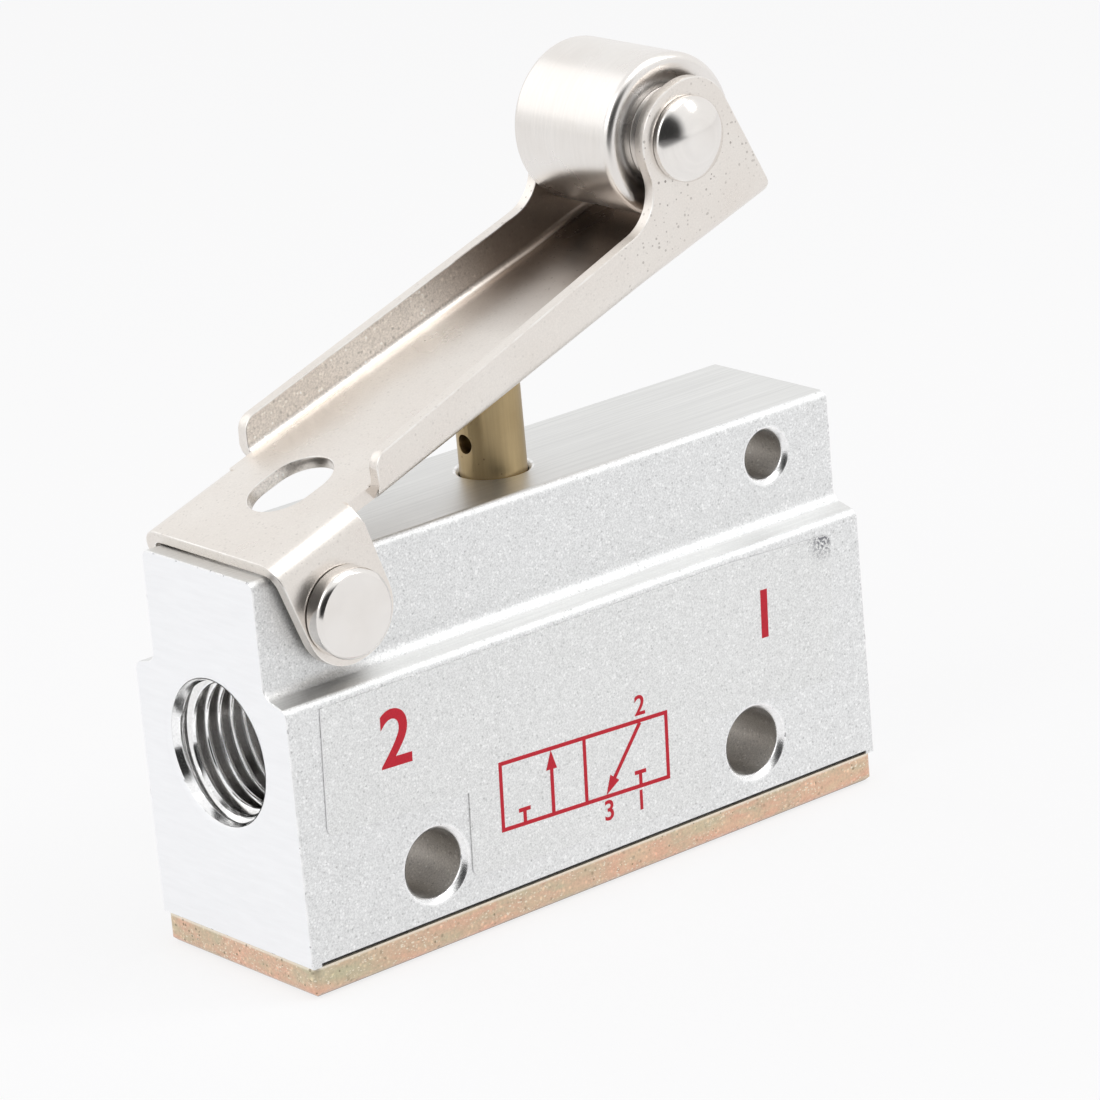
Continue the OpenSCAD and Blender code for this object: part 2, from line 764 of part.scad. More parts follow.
// Channel of the arm: parallel at the roller and spreading from there to the notch
module arm_channel() {
    for (side = [0, 1])
        mirror([0, side, 0])
            translate([spread_reach, flange_out, 0]) {
                along_x(0, tip_reach - spread_reach)
                    polygon(arm_side(0));
                intersection() {
                    rotate([0, 0, -flange_spread])
                        along_x(-spread_l - over, over)
                            polygon(arm_side(flange_spread));
                    translate([-spread_l, -channel_w, 0])
                        cube([spread_l, 2 * channel_w, lobe_top + over]);
                }
            }
}

module lever() {
    color([0.80, 0.77, 0.72])
        on_lever()
            difference() {
                union() {
                    intersection() {
                        along_x(-tail_l, ear_front)
                            ear_section();
                        along_y(2 * ear_out + 2 * over)
                            ear_outline();
                    }
                    translate([ear_front, -notch_w / 2, web_low])
                        cube([notch_l, notch_w, sheet_t]);
                    intersection() {
                        arm_channel();
                        along_y(2 * channel_w)
                            arm_outline();
                    }
                }
                rotate([90, 0, 0])
                    cylinder(d = pivot_hole_d, h = 2 * ear_out + 2 * over, center = true);
                translate([roller_reach, 0, roller_w_pos])
                    rotate([90, 0, 0])
                        cylinder(d = axle_hole_d, h = channel_w + 2 * over, center = true);
                translate([slot_reach, 0, web_low - over])
                    linear_extrude(sheet_t + 2 * over)
                        union() {
                            square([slot_l - slot_w, slot_w], center = true);
                            for (end = [-1, 1])
                                translate([end * (slot_l - slot_w) / 2, 0])
                                    circle(d = slot_w);
                        }
            }
}

module roller() {
    half = roller_w / 2;
    r = roller_d / 2;
    hub_r = roller_hub_d / 2;
    color([0.83, 0.81, 0.77])
        on_axle()
            rotate_extrude($fn = 96)
                polygon(rounded_outline([
                    [roller_bore_d / 2, -roller_hub_half, 0], [hub_r, -roller_hub_half, 0],
                    [hub_r, -half + roller_dish, 0], [r, -half, roller_edge_r],
                    [r, half, roller_edge_r], [hub_r, half - roller_dish, 0],
                    [hub_r, roller_hub_half, 0], [roller_bore_d / 2, roller_hub_half, 0]
                ]));
}

module axle_sleeve() {
    color([0.66, 0.65, 0.63])
        on_axle()
            difference() {
                cylinder(d = sleeve_d, h = 2 * (flange_in - seat_gap), center = true);
                cylinder(d = sleeve_bore_d, h = 2 * flange_in + over, center = true);
            }
}

module roller_washers() {
    color([0.72, 0.71, 0.69])
        on_axle()
            for (turn = [0, 180])
                rotate([turn, 0, 0])
                    translate([0, 0, washer_out - washer_t])
                        difference() {
                            cylinder(d = washer_d, h = washer_t);
                            translate([0, 0, -over])
                                cylinder(d = sleeve_d + 2 * seat_gap, h = washer_t + 2 * over);
                        }
}

// Head of the axle: a straight rim under a spherical dome
module rivet_head() {
    head_r = axle_head_d / 2;
    cap_r = (head_r * head_r + axle_dome_h * axle_dome_h) / (2 * axle_dome_h);
    cylinder(r = head_r, h = axle_rim_h);
    translate([0, 0, axle_rim_h])
        intersection() {
            cylinder(r = head_r, h = axle_dome_h + over);
            translate([0, 0, axle_dome_h - cap_r])
                sphere(r = cap_r, $fn = 96);
        }
}

module roller_axle() {
    head_z = flange_out + seat_gap;
    color([0.82, 0.80, 0.76])
        on_axle() {
            cylinder(d = axle_d, h = 2 * head_z, center = true);
            for (turn = [0, 180])
                rotate([turn, 0, 0])
                    translate([0, 0, head_z])
                        rivet_head();
        }
}

module pivot_pin() {
    r = pin_d / 2;
    head_r = pin_head_d / 2;
    head_z = ear_out + pin_play;
    clip_z = ear_out + pin_play - seat_gap;
    rear_z = clip_z + clip_t + 2 * seat_gap + pin_end;
    color([0.78, 0.75, 0.71])
        on_pivot()
            rotate_extrude($fn = 64)
                polygon([
                    [0, -rear_z], [r - pin_bevel, -rear_z], [r, -rear_z + pin_bevel],
                    [r, -clip_z - clip_t - 2 * seat_gap], [r - clip_groove, -clip_z - clip_t - 2 * seat_gap],
                    [r - clip_groove, -clip_z], [r, -clip_z],
                    [r, head_z], [head_r, head_z], [head_r, head_z + pin_head_t - pin_bevel],
                    [head_r - pin_bevel, head_z + pin_head_t], [0, head_z + pin_head_t]
                ]);
}

module pivot_clip() {
    hug_d = pin_d - 2 * clip_groove + 2 * seat_gap;
    color([0.35, 0.34, 0.33])
        on_pivot()
            translate([0, 0, -ear_out - pin_play - clip_t])
                difference() {
                    cylinder(d = clip_d, h = clip_t);
                    translate([0, 0, -over])
                        cylinder(d = hug_d, h = clip_t + 2 * over);
                    translate([-clip_mouth / 2, -clip_d, -over])
                        cube([clip_mouth, clip_d, clip_t + 2 * over]);
                    for (a = [-clip_relief_angle, 0, clip_relief_angle])
                        rotate([0, 0, a])
                            translate([0, hug_d / 2, -over])
                                cylinder(d = clip_relief_d, h = clip_t + 2 * over);
                }
}

module label() {
    step = (label_l - label_low_l) / 2;
    foot = -label_high - label_low;
    color([0.84, 0.85, 0.86])
        translate([0, -body_w / 2 - seat_gap, 0])
            rotate([90, 0, 0])
                linear_extrude(label_t)
                    intersection() {
                        translate([label_l / 2, shoulder_z - label_drop])
                            rotate(label_tilt)
                                polygon(rounded_outline([
                                    [0, 0, label_r], [label_cut - label_l, 0, 0],
                                    [-label_l, -label_cut, label_r], [-label_l, -label_high, label_r],
                                    [step - label_l, -label_high, 0], [step - label_l, foot, label_r],
                                    [-step, foot, label_r], [-step, -label_high, 0],
                                    [0, -label_high, label_r]
                                ]));
                        translate([-body_l / 2, base_t])
                            square([body_l, label_top - base_t]);
                    }
}

valve_body();
base_plate();
base_gasket();
base_screws();
valve_seat();
seat_ring();
poppet();
poppet_seal();
poppet_spring();
plunger();
plunger_ring();
return_spring();
lever();
roller();
axle_sleeve();
roller_washers();
roller_axle();
pivot_pin();
pivot_clip();
label();
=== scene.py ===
import json
import math

import bmesh
import bpy
from mathutils import Matrix, Vector
from mathutils.bvhtree import BVHTree
from mathutils.kdtree import KDTree


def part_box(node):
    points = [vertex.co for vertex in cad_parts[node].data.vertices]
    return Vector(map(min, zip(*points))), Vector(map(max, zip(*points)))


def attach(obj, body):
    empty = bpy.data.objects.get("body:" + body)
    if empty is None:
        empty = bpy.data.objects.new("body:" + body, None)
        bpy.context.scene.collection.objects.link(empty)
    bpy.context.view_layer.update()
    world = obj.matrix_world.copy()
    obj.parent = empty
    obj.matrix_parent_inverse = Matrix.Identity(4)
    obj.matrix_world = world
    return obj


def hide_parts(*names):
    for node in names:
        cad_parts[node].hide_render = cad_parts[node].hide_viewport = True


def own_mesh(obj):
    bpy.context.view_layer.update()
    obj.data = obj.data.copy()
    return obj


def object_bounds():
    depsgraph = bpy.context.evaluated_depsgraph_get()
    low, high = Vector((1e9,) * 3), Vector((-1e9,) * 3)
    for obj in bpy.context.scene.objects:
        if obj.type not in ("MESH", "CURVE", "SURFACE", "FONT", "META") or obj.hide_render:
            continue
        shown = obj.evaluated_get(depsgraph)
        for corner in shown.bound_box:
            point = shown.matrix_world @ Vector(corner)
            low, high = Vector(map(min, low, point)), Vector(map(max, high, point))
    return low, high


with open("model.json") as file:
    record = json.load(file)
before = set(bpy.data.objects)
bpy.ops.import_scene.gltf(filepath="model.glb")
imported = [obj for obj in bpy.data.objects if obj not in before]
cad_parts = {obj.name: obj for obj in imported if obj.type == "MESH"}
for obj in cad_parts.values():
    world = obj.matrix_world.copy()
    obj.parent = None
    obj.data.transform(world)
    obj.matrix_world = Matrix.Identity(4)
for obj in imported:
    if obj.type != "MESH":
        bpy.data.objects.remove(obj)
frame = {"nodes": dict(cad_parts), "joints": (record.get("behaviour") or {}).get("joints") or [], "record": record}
cad_low, cad_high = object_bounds()

# Roller lever air valve in its studio, in metres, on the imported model's own frame.
# The lever hinges at the -X end and the printed face looks along -Y.

MM = 0.001
JOINTS = {joint["name"]: joint for joint in frame["joints"]}
MOUNTS = {mount["name"]: mount for mount in frame["record"]["mounts"]}

BODY_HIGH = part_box("valve_body")[1]
LABEL_LOW, LABEL_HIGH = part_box("label")
GASKET_LOW, GASKET_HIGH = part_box("base_gasket")
PLATE_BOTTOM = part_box("base_plate")[0].z
PLATE_TOP = GASKET_LOW.z
PIVOT = Vector(JOINTS["lever_hinge"]["pos_m"])
AXLE = Vector(JOINTS["roller_spin"]["pos_m"])

# The lever's arm at rest: its rise, the line along it and the way up from it
ARM_TILT = math.radians(18.6)
ARM_LINE = Vector((math.cos(ARM_TILT), 0.0, math.sin(ARM_TILT)))
ARM_UP = Vector((-math.sin(ARM_TILT), 0.0, math.cos(ARM_TILT)))
# Height over the pivot that only the arm reaches, and half the width of its flat floor
ARM_OVER = 6.5 * MM
ARM_HALF = 7.2 * MM

# Photograph's viewpoint
CAMERA_PLACE = Vector((-0.27562, -0.35452, 0.17598))
CAMERA_AZIMUTH = -38.408
CAMERA_ELEVATION = 18.145
CAMERA_ROLL = -5.187
CAMERA_LENS = 176.12
CAMERA_NEAR = 10 * MM

# Edge rounding: distance within which vertices merge, and the angles past which an edge is sharp or not flat
MERGE = 0.002 * MM
SHARP_ANGLE = math.radians(32)
FLAT_ANGLE = math.radians(1)
# Length that a corner's edges need and distance that a vertex may stray, in widths of the rounding
CORNER_ROOM = 3.0
STRAY = 0.6
ROUNDING_TRIES = 6
ROUNDING_SEGMENTS = 2
# Edges past which a vertex is the pole of a dome
POLE_EDGES = 40
# Reach past a bore's radius of its wall and of its bevelled mouth, and the lean of a face flat on the side
BORE_SKIN = 0.03 * MM
BORE_MOUTH = 0.65 * MM
FLAT_SIDE = 0.95
# Least lean of a face that looks into the lever's channel
CHANNEL_LEAN = 0.3

# Thread of the end ports, which stands a little proud of the wall
THREAD_PITCH = 1.337 * MM
THREAD_HEIGHT = 0.86 * MM
THREAD_PROUD = 0.02 * MM
THREAD_WALL = MOUNTS["outlet_port"]["dims"]["r_mm"] * MM - THREAD_PROUD
THREAD_STEPS = 96
THREAD_CUTS = 2
# Rise of the ridge over one pitch, as shares of the pitch and of the height
THREAD_RIDGE = [(0.0, 0.0), (0.10, 0.04), (0.41, 0.93), (0.5, 1.0), (0.59, 0.93), (0.90, 0.04), (1.0, 0.0)]
# Depth of the bevel at a port's mouth, slope of the cut there, and depth at which the thread runs out
BEVEL_DEPTH = 0.2 * MM
START_SLOPE = 0.4
RUN_OUT_DEPTH = 11.5 * MM

# Reach along the arm at which the painted shade in its channel begins and is darkest
SHADE_REACH = (PIVOT.dot(ARM_LINE) + 29 * MM, PIVOT.dot(ARM_LINE) + 38 * MM)
# Distances from the roller's axle at which the arm's plating is most pitted and no more pitted
PITTED = (7 * MM, 17 * MM)
# Radii between which a thread's bright crest ends and the painted shade on its flanks begins, and places along the
# ports where that shade begins and is full
THREAD_BRIGHT = (THREAD_WALL - 0.80 * THREAD_HEIGHT, THREAD_WALL - 0.68 * THREAD_HEIGHT)
THREAD_SHADED = (BODY_HIGH.x - 1.0 * MM, BODY_HIGH.x - 3.0 * MM)
# Heights over which the base plate's painted highlight along its upper edge and painted contact shadow along its
# lower edge fade
PLATE_RIM = (0.16 * MM, 0.32 * MM)
# Dirt under the label's upper right corner
STAIN_PLACE = Vector((LABEL_HIGH.x - 0.9 * MM, LABEL_LOW.y, LABEL_HIGH.z - 0.9 * MM))
STAIN_SIZE = 2.2 * MM

# Springs: piece, node, wire, turns and the joint that shortens it
SPRINGS = [
    ("return_coil", "return_spring", 0.7 * MM, 6, "plunger_slide"),
    ("poppet_coil", "poppet_spring", 0.9 * MM, 5, "poppet_slide"),
]
COIL_STEPS = 28
WIRE_SIDES = 12

# Flow symbol printed on the label
PRINT_T = 0.02 * MM
PRINT_TILT = math.radians(2.65)
STROKE = 0.36 * MM
SYMBOL_PLACE = Vector((-1.42 * MM, 0.0, GASKET_HIGH.z + 8.19 * MM))
SYMBOL_L = 18.9 * MM
SYMBOL_H = 6.0 * MM
ARROW_L = 1.7 * MM
ARROW_W = 1.2 * MM
ARROW_T = 0.03 * MM
CLOSED_H = 1.3 * MM
CLOSED_W = 1.3 * MM
# Places along the symbol, as shares of half its length: flow arrow, exhaust arrow's ends, closed ports
FLOW_AT = -0.40
EXHAUST_FROM = 0.68
EXHAUST_TO = 0.24
CLOSED_AT = (-0.74, 0.66)

# Port numerals: piece, figure, place on the symbol's plane and height
NUMERALS = [
    ("numeral_outlet", "2", (6.5 * MM, 4.3 * MM), 1.8 * MM),
    ("numeral_exhaust", "3", (2.5 * MM, -4.4 * MM), 1.8 * MM),
    ("numeral_inlet", "1", (6.2 * MM, -4.4 * MM), 1.8 * MM),
    ("numeral_left_port", "2", (-20.5 * MM, 8.0 * MM), 5.0 * MM),
    ("numeral_right_port", "1", (21.5 * MM, 9.0 * MM), 4.4 * MM),
]
# Height of a figure as a share of the font's size, and its extra boldness as a share of its height
FIGURE_SHARE = 0.7
FIGURE_BOLD = 0.02

# Studio
FLOOR_SIZE = 6.0
FLOOR_GAP = 0.01 * MM
PAPER_WHITE = (0.98, 0.975, 0.995, 1.0)
BACKDROP_WHITE = 0.77
WORLD_STRENGTH = 0.55
# Unlit side of the studio, which only shows as a reflection in metal
DARK_SIDE = Vector((-0.45, -0.87, 0.20)).normalized()
DARK_LEVEL = 0.03
DARK_CONE = (math.cos(math.radians(40)), math.cos(math.radians(27)))
DARK_FLOOR = (200 * MM, 320 * MM)
# Narrowing of the floor's unlit part, for each step to the side of its middle
DARK_NARROW = 0.9
# Soft boxes: name, place, size and power
LAMPS = [
    ("key", (0.16, -0.28, 0.77), 0.5, 1.4),
    ("fill", (0.47, -0.44, 0.50), 0.16, 0.35),
    ("side", (-0.62, -0.05, 0.50), 0.5, 1.0),
    ("rim", (-0.28, 0.60, 0.45), 0.6, 0.4),
]


# Mesh helpers

def is_sharp(edge):
    """Tells an edge where two faces meet at more than the sharp angle."""
    return edge.is_manifold and edge.calc_face_angle(0.0) > SHARP_ANGLE


def finish_mesh(bm, name):
    """Turns a bmesh into a smooth-shaded mesh that keeps its sharp edges."""
    for face in bm.faces:
        face.smooth = True
    for edge in bm.edges:
        edge.smooth = not is_sharp(edge)
    mesh = bpy.data.meshes.new(name)
    bm.to_mesh(mesh)
    bm.free()
    return mesh


def add_piece(name, mesh, material, body, replaced=()):
    """Puts a mesh into the scene as a piece that rides on a body."""
    mesh.materials.clear()
    mesh.materials.append(material)
    piece = bpy.data.objects.new(name, mesh)
    bpy.context.scene.collection.objects.link(piece)
    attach(piece, body)
    if replaced:
        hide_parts(*replaced)
    return piece


def mark_bores(bm):
    """Marks the walls of the body's cross holes, which take a painted shade, and their bright bevelled mouths."""
    inside = bm.faces.layers.float.new("inside")
    mouth = bm.faces.layers.float.new("mouth")
    bolts = MOUNTS["mounting_holes"]
    bolt_x = bolts["dims"]["spacing_x_mm"] / 2 * MM
    bolt_r = bolts["dims"]["hole_r_mm"] * MM
    pivot_r = MOUNTS["spare_pivot_hole"]["dims"]["r_mm"] * MM
    bores = [
        (-bolt_x, bolts["pos_m"][2], bolt_r), (bolt_x, bolts["pos_m"][2], bolt_r),
        (PIVOT.x, PIVOT.z, pivot_r), (-PIVOT.x, PIVOT.z, pivot_r)]
    for face in bm.faces:
        middle = face.calc_center_median()
        past_wall = min(math.hypot(middle.x - x, middle.z - z) - r for x, z, r in bores)
        face[inside] = float(past_wall < BORE_SKIN)
        face[mouth] = float(BORE_SKIN <= past_wall < BORE_MOUTH and abs(face.normal.y) < FLAT_SIDE)


def mark_channel(bm):
    """Marks the floor and the inner walls of the channel that the lever's arm forms."""
    channel = bm.faces.layers.float.new("channel")
    for face in bm.faces:
        middle = face.calc_center_median() - PIVOT
        on_wall = face.normal.y * math.copysign(1.0, middle.y) < -CHANNEL_LEAN
        on_floor = face.normal.dot(ARM_UP) > CHANNEL_LEAN and abs(middle.y) < ARM_HALF
        face[channel] = float(middle.dot(ARM_UP) > ARM_OVER and (on_wall or on_floor))


def crowded_corners(bm, width):
    """Corners of three or more sharp edges where one is too short to be rounded, with its far end."""
    crowded = set()
    for vert in bm.verts:
        sharp = [edge for edge in vert.link_edges if is_sharp(edge)]
        short = [edge for edge in sharp if edge.calc_length() <= CORNER_ROOM * width]
        if len(sharp) > 2 and short:
            crowded.add(vert.index)
            crowded.update(edge.other_vert(vert).index for edge in short)
    return crowded


def round_edges(source, width):
    """A copy with rounded sharp edges; corners that the rounding would throw off the surface stay sharp."""
    source.faces.layers.float.new("rounded_edges")
    source.verts.index_update()
    surface = BVHTree.FromBMesh(source)
    corners = KDTree(len(source.verts))
    for vert in source.verts:
        if any(map(is_sharp, vert.link_edges)):
            corners.insert(vert.co, vert.index)
    corners.balance()
    kept = crowded_corners(source, width)
    for attempt in range(ROUNDING_TRIES):
        bm = source.copy()
        sharp = [edge for edge in bm.edges if is_sharp(edge)]
        edges = [edge for edge in sharp if kept.isdisjoint(vert.index for vert in edge.verts)]
        rounded = bmesh.ops.bevel(
            bm, geom=edges, offset=width, offset_type="OFFSET", segments=ROUNDING_SEGMENTS,
            profile=0.5, affect="EDGES", material=-1, clamp_overlap=False,
        )
        strays = [vert for vert in bm.verts if surface.find_nearest(vert.co)[3] > STRAY * width]
        if not strays or attempt == ROUNDING_TRIES - 1:
            break
        kept.update(corners.find(surface.find_nearest(vert.co)[0])[1] for vert in strays)
        bm.free()
    for vert in strays:
        vert.co = surface.find_nearest(vert.co)[0]
    rounded_edges = bm.faces.layers.float["rounded_edges"]
    for face in rounded["faces"]:
        face[rounded_edges] = 1.0
    source.free()
    return bm


def soften(node, width, material, body):
    """Replaces a CAD node by a copy with rounded sharp edges, which carry a mask for edge wear, and on the label
    for painted light.
    """
    bm = bmesh.new()
    bm.from_mesh(frame["nodes"][node].data)
    bmesh.ops.remove_doubles(bm, verts=bm.verts, dist=MERGE)
    crowns = [vert for vert in bm.verts if len(vert.link_edges) > POLE_EDGES]
    poles = [vert for vert in crowns if not any(map(is_sharp, vert.link_edges))]
    bmesh.ops.dissolve_verts(bm, verts=poles)
    bmesh.ops.dissolve_limit(bm, angle_limit=FLAT_ANGLE, verts=bm.verts, edges=bm.edges)
    bm = round_edges(bm, width)
    if node == "valve_body":
        mark_bores(bm)
    if node == "lever":
        mark_channel(bm)
    piece = add_piece(node + "_soft", finish_mesh(bm, node + "_soft"), material, body, [node])
    weighted = piece.modifiers.new("flat faces", "WEIGHTED_NORMAL")
    weighted.keep_sharp = True


# Shader helpers

def add_node(tree, kind, values=None, **settings):
    """Adds a shader node; values that are sockets are linked, and others are set."""
    node = tree.nodes.new(kind)
    for key, value in settings.items():
        setattr(node, key, value)
    for socket, value in (values or {}).items():
        if isinstance(value, bpy.types.NodeSocket):
            tree.links.new(value, node.inputs[socket])
        else:
            node.inputs[socket].default_value = value
    return node


def maths(tree, operation, first, second=0.0):
    """The result of a maths operation on one or two values."""
    node = add_node(tree, "ShaderNodeMath", {0: first, 1: second}, operation=operation)
    return node.outputs[0]


def remap(tree, value, low, high, to_low=0.0, to_high=1.0):
    """A value moved from one range to another and held within it."""
    node = add_node(tree, "ShaderNodeMapRange", {0: value, 1: low, 2: high, 3: to_low, 4: to_high})
    return node.outputs[0]


def mix_colours(tree, factor, first, second, blend="MIX"):
    """A blend of two colours."""
    node = add_node(
        tree, "ShaderNodeMix", {0: factor, 6: first, 7: second}, data_type="RGBA", blend_type=blend)
    return node.outputs[2]


def mix_values(tree, factor, first, second):
    """A blend of two values."""
    node = add_node(tree, "ShaderNodeMix", {0: factor, 2: first, 3: second}, data_type="FLOAT")
    return node.outputs[0]


def stretched(tree, coords, scale, shift=(0.0, 0.0, 0.0)):
    """Object coordinates scaled and shifted for a pattern."""
    node = add_node(tree, "ShaderNodeMapping", {"Vector": coords, "Scale": scale, "Location": shift})
    return node.outputs[0]


def along(tree, vector, direction):
    """How far a vector reaches in a direction."""
    node = add_node(tree, "ShaderNodeVectorMath", {0: vector, 1: tuple(direction)}, operation="DOT_PRODUCT")
    return node.outputs["Value"]


def away_from(tree, coords, place):
    """Distance from a place."""
    node = add_node(tree, "ShaderNodeVectorMath", {0: coords, 1: tuple(place)}, operation="DISTANCE")
    return node.outputs["Value"]


def noise(tree, coords, scale, detail=2.0, roughness=0.5):
    """Noise that swings round 0.5."""
    node = add_node(tree, "ShaderNodeTexNoise", {
        "Vector": coords, "Scale": scale, "Detail": detail, "Roughness": roughness})
    return node.outputs[0]


def colour_ramp(tree, value, stops):
    """A colour that runs through stops, each a place from 0 to 1 and a colour."""
    node = add_node(tree, "ShaderNodeValToRGB", {0: value})
    elements = node.color_ramp.elements
    for element, (place, shade) in zip(elements, (stops[0], stops[-1])):
        element.position = place
        element.color = shade
    for place, shade in stops[1:-1]:
        elements.new(place).color = shade
    return node.outputs[0]


def effect_group(name, inputs, outputs):
    """Starts a shader node group with float inputs and outputs."""
    tree = bpy.data.node_groups.new(name, "ShaderNodeTree")
    tree.interface.new_socket("Vector", in_out="INPUT", socket_type="NodeSocketVector")
    for label, value in inputs.items():
        socket = tree.interface.new_socket(label, in_out="INPUT", socket_type="NodeSocketFloat")
        socket.default_value = value
    for label in outputs:
        tree.interface.new_socket(label, in_out="OUTPUT", socket_type="NodeSocketFloat")
    start = tree.nodes.new("NodeGroupInput")
    end = tree.nodes.new("NodeGroupOutput")
    return tree, start.outputs, end.inputs


def place_group(tree, group, coords, **values):
    """Adds a node group to a material and returns its outputs."""
    node = add_node(tree, "ShaderNodeGroup", node_tree=group)
    tree.links.new(coords, node.inputs["Vector"])
    for label, value in values.items():
        node.inputs[label.capitalize()].default_value = value
    return node.outputs


def start_material(name, **values):
    """A material with a Principled shader whose constant sockets are set here."""
    material = bpy.data.materials.new(name)
    material.use_nodes = True
    tree = material.node_tree
    shader = tree.nodes["Principled BSDF"]
    for label, value in values.items():
        shader.inputs[label.replace("_", " ").title().replace("Ior", "IOR")].default_value = value
    coords = tree.nodes.new("ShaderNodeTexCoord")
    return material, tree, shader, coords.outputs


def bump(tree, shader, height, strength, distance):
    """Gives the surface a fine relief."""
    node = add_node(tree, "ShaderNodeBump", {"Height": height, "Strength": strength, "Distance": distance})
    tree.links.new(node.outputs[0], shader.inputs["Normal"])


def drive(tree, shader, **sockets):
    """Links varying values to the shader's sockets."""
    for label, socket in sockets.items():
        tree.links.new(socket, shader.inputs[label.replace("_", " ").title()])


# Shared effects

def make_speckle():
    """Blasted grain: fine light and dark specks with a few sparkling ones."""
    tree, given, result = effect_group(
        "blasted speckle", {"Scale": 7000.0, "Contrast": 0.8, "Sparkle": 0.3, "Dark": 0.3},
        ["Tone", "Height"])
    grain = noise(tree, given["Vector"], given["Scale"], 2.0, 0.7)
    swing = maths(tree, "MULTIPLY", maths(tree, "SUBTRACT", grain, 0.5), given["Contrast"])
    cell_scale = maths(tree, "MULTIPLY", given["Scale"], 0.6)
    cell = add_node(tree, "ShaderNodeTexVoronoi", {"Vector": given["Vector"], "Scale": cell_scale})
    split = add_node(tree, "ShaderNodeSeparateColor", {0: cell.outputs["Color"]})
    near = remap(tree, cell.outputs["Distance"], 0.6, 0.2)
    bright = maths(tree, "MULTIPLY", remap(tree, split.outputs[0], 0.84, 0.94), given["Sparkle"])
    dark = maths(tree, "MULTIPLY", remap(tree, split.outputs[0], 0.14, 0.05), given["Dark"])
    specks = maths(tree, "MULTIPLY", maths(tree, "SUBTRACT", bright, dark), near)
    tone = maths(tree, "ADD", maths(tree, "ADD", swing, 1.0), specks)
    tree.links.new(tone, result["Tone"])
    tree.links.new(grain, result["Height"])
    return tree


def make_pits():
    """Small sparse pits, each in the middle of a random cell."""
    tree, given, result = effect_group(
        "plating pits", {"Scale": 700.0, "Amount": 0.1, "Size": 0.2}, ["Mask"])
    cell = add_node(tree, "ShaderNodeTexVoronoi", {"Vector": given["Vector"], "Scale": given["Scale"]})
    split = add_node(tree, "ShaderNodeSeparateColor", {0: cell.outputs["Color"]})
    chosen = maths(tree, "LESS_THAN", split.outputs[1], given["Amount"])
    radius = maths(tree, "MULTIPLY", given["Size"], split.outputs[2])
    inside = maths(tree, "SUBTRACT", radius, cell.outputs["Distance"])
    soft = remap(tree, inside, 0.0, 0.06)
    tree.links.new(maths(tree, "MULTIPLY", chosen, soft), result["Mask"])
    return tree


def make_smudge():
    """Slow clouds of handling and plating, from 0 to 1."""
    tree, given, result = effect_group("handling clouds", {"Scale": 120.0}, ["Cloud"])
    cloud = noise(tree, given["Vector"], given["Scale"], 4.0, 0.55)
    tree.links.new(remap(tree, cloud, 0.3, 0.7), result["Cloud"])
    return tree


def make_brushed():
    """Lines of a brushed, rolled or turned surface, long on the stretched axis."""
    tree, given, result = effect_group("brushed lines", {"Contrast": 0.2}, ["Tone", "Height"])
    lines = noise(tree, given["Vector"], 1.0, 4.0, 0.6)
    swing = maths(tree, "MULTIPLY", maths(tree, "SUBTRACT", lines, 0.5), given["Contrast"])
    tree.links.new(maths(tree, "ADD", swing, 1.0), result["Tone"])
    tree.links.new(lines, result["Height"])
    return tree


def make_wear():
    """Rubbed edges: the rounded edges' own mask, broken up by noise."""
    tree, given, result = effect_group("rubbed edges", {"Scale": 900.0, "Amount": 1.0}, ["Mask"])
    edge = add_node(tree, "ShaderNodeAttribute", attribute_name="rounded_edges")
    broken = remap(tree, noise(tree, given["Vector"], given["Scale"], 3.0, 0.6), 0.35, 0.6)
    mask = maths(tree, "MULTIPLY", maths(tree, "MULTIPLY", edge.outputs["Fac"], broken), given["Amount"])
    tree.links.new(mask, result["Mask"])
    return tree


def make_nicks():
    """Small dark dents, strung along the rounded edges."""
    tree, given, result = effect_group("edge nicks", {"Scale": 1000.0, "Amount": 1.0}, ["Mask"])
    edge = add_node(tree, "ShaderNodeAttribute", attribute_name="rounded_edges")
    dents = remap(tree, noise(tree, given["Vector"], given["Scale"], 2.0, 0.6), 0.64, 0.70)
    mask = maths(tree, "MULTIPLY", maths(tree, "MULTIPLY", edge.outputs["Fac"], dents), given["Amount"])
    tree.links.new(mask, result["Mask"])
    return tree


SPECKLE = make_speckle()
PITS = make_pits()
SMUDGE = make_smudge()
BRUSHED = make_brushed()
WEAR = make_wear()
NICKS = make_nicks()


# Finishes

def grey_of(tree, tone, colour):
    """A colour multiplied by a varying tone."""
    combine = add_node(tree, "ShaderNodeCombineColor", {0: tone, 1: tone, 2: tone})
    return mix_colours(tree, 1.0, colour, combine.outputs[0], "MULTIPLY")


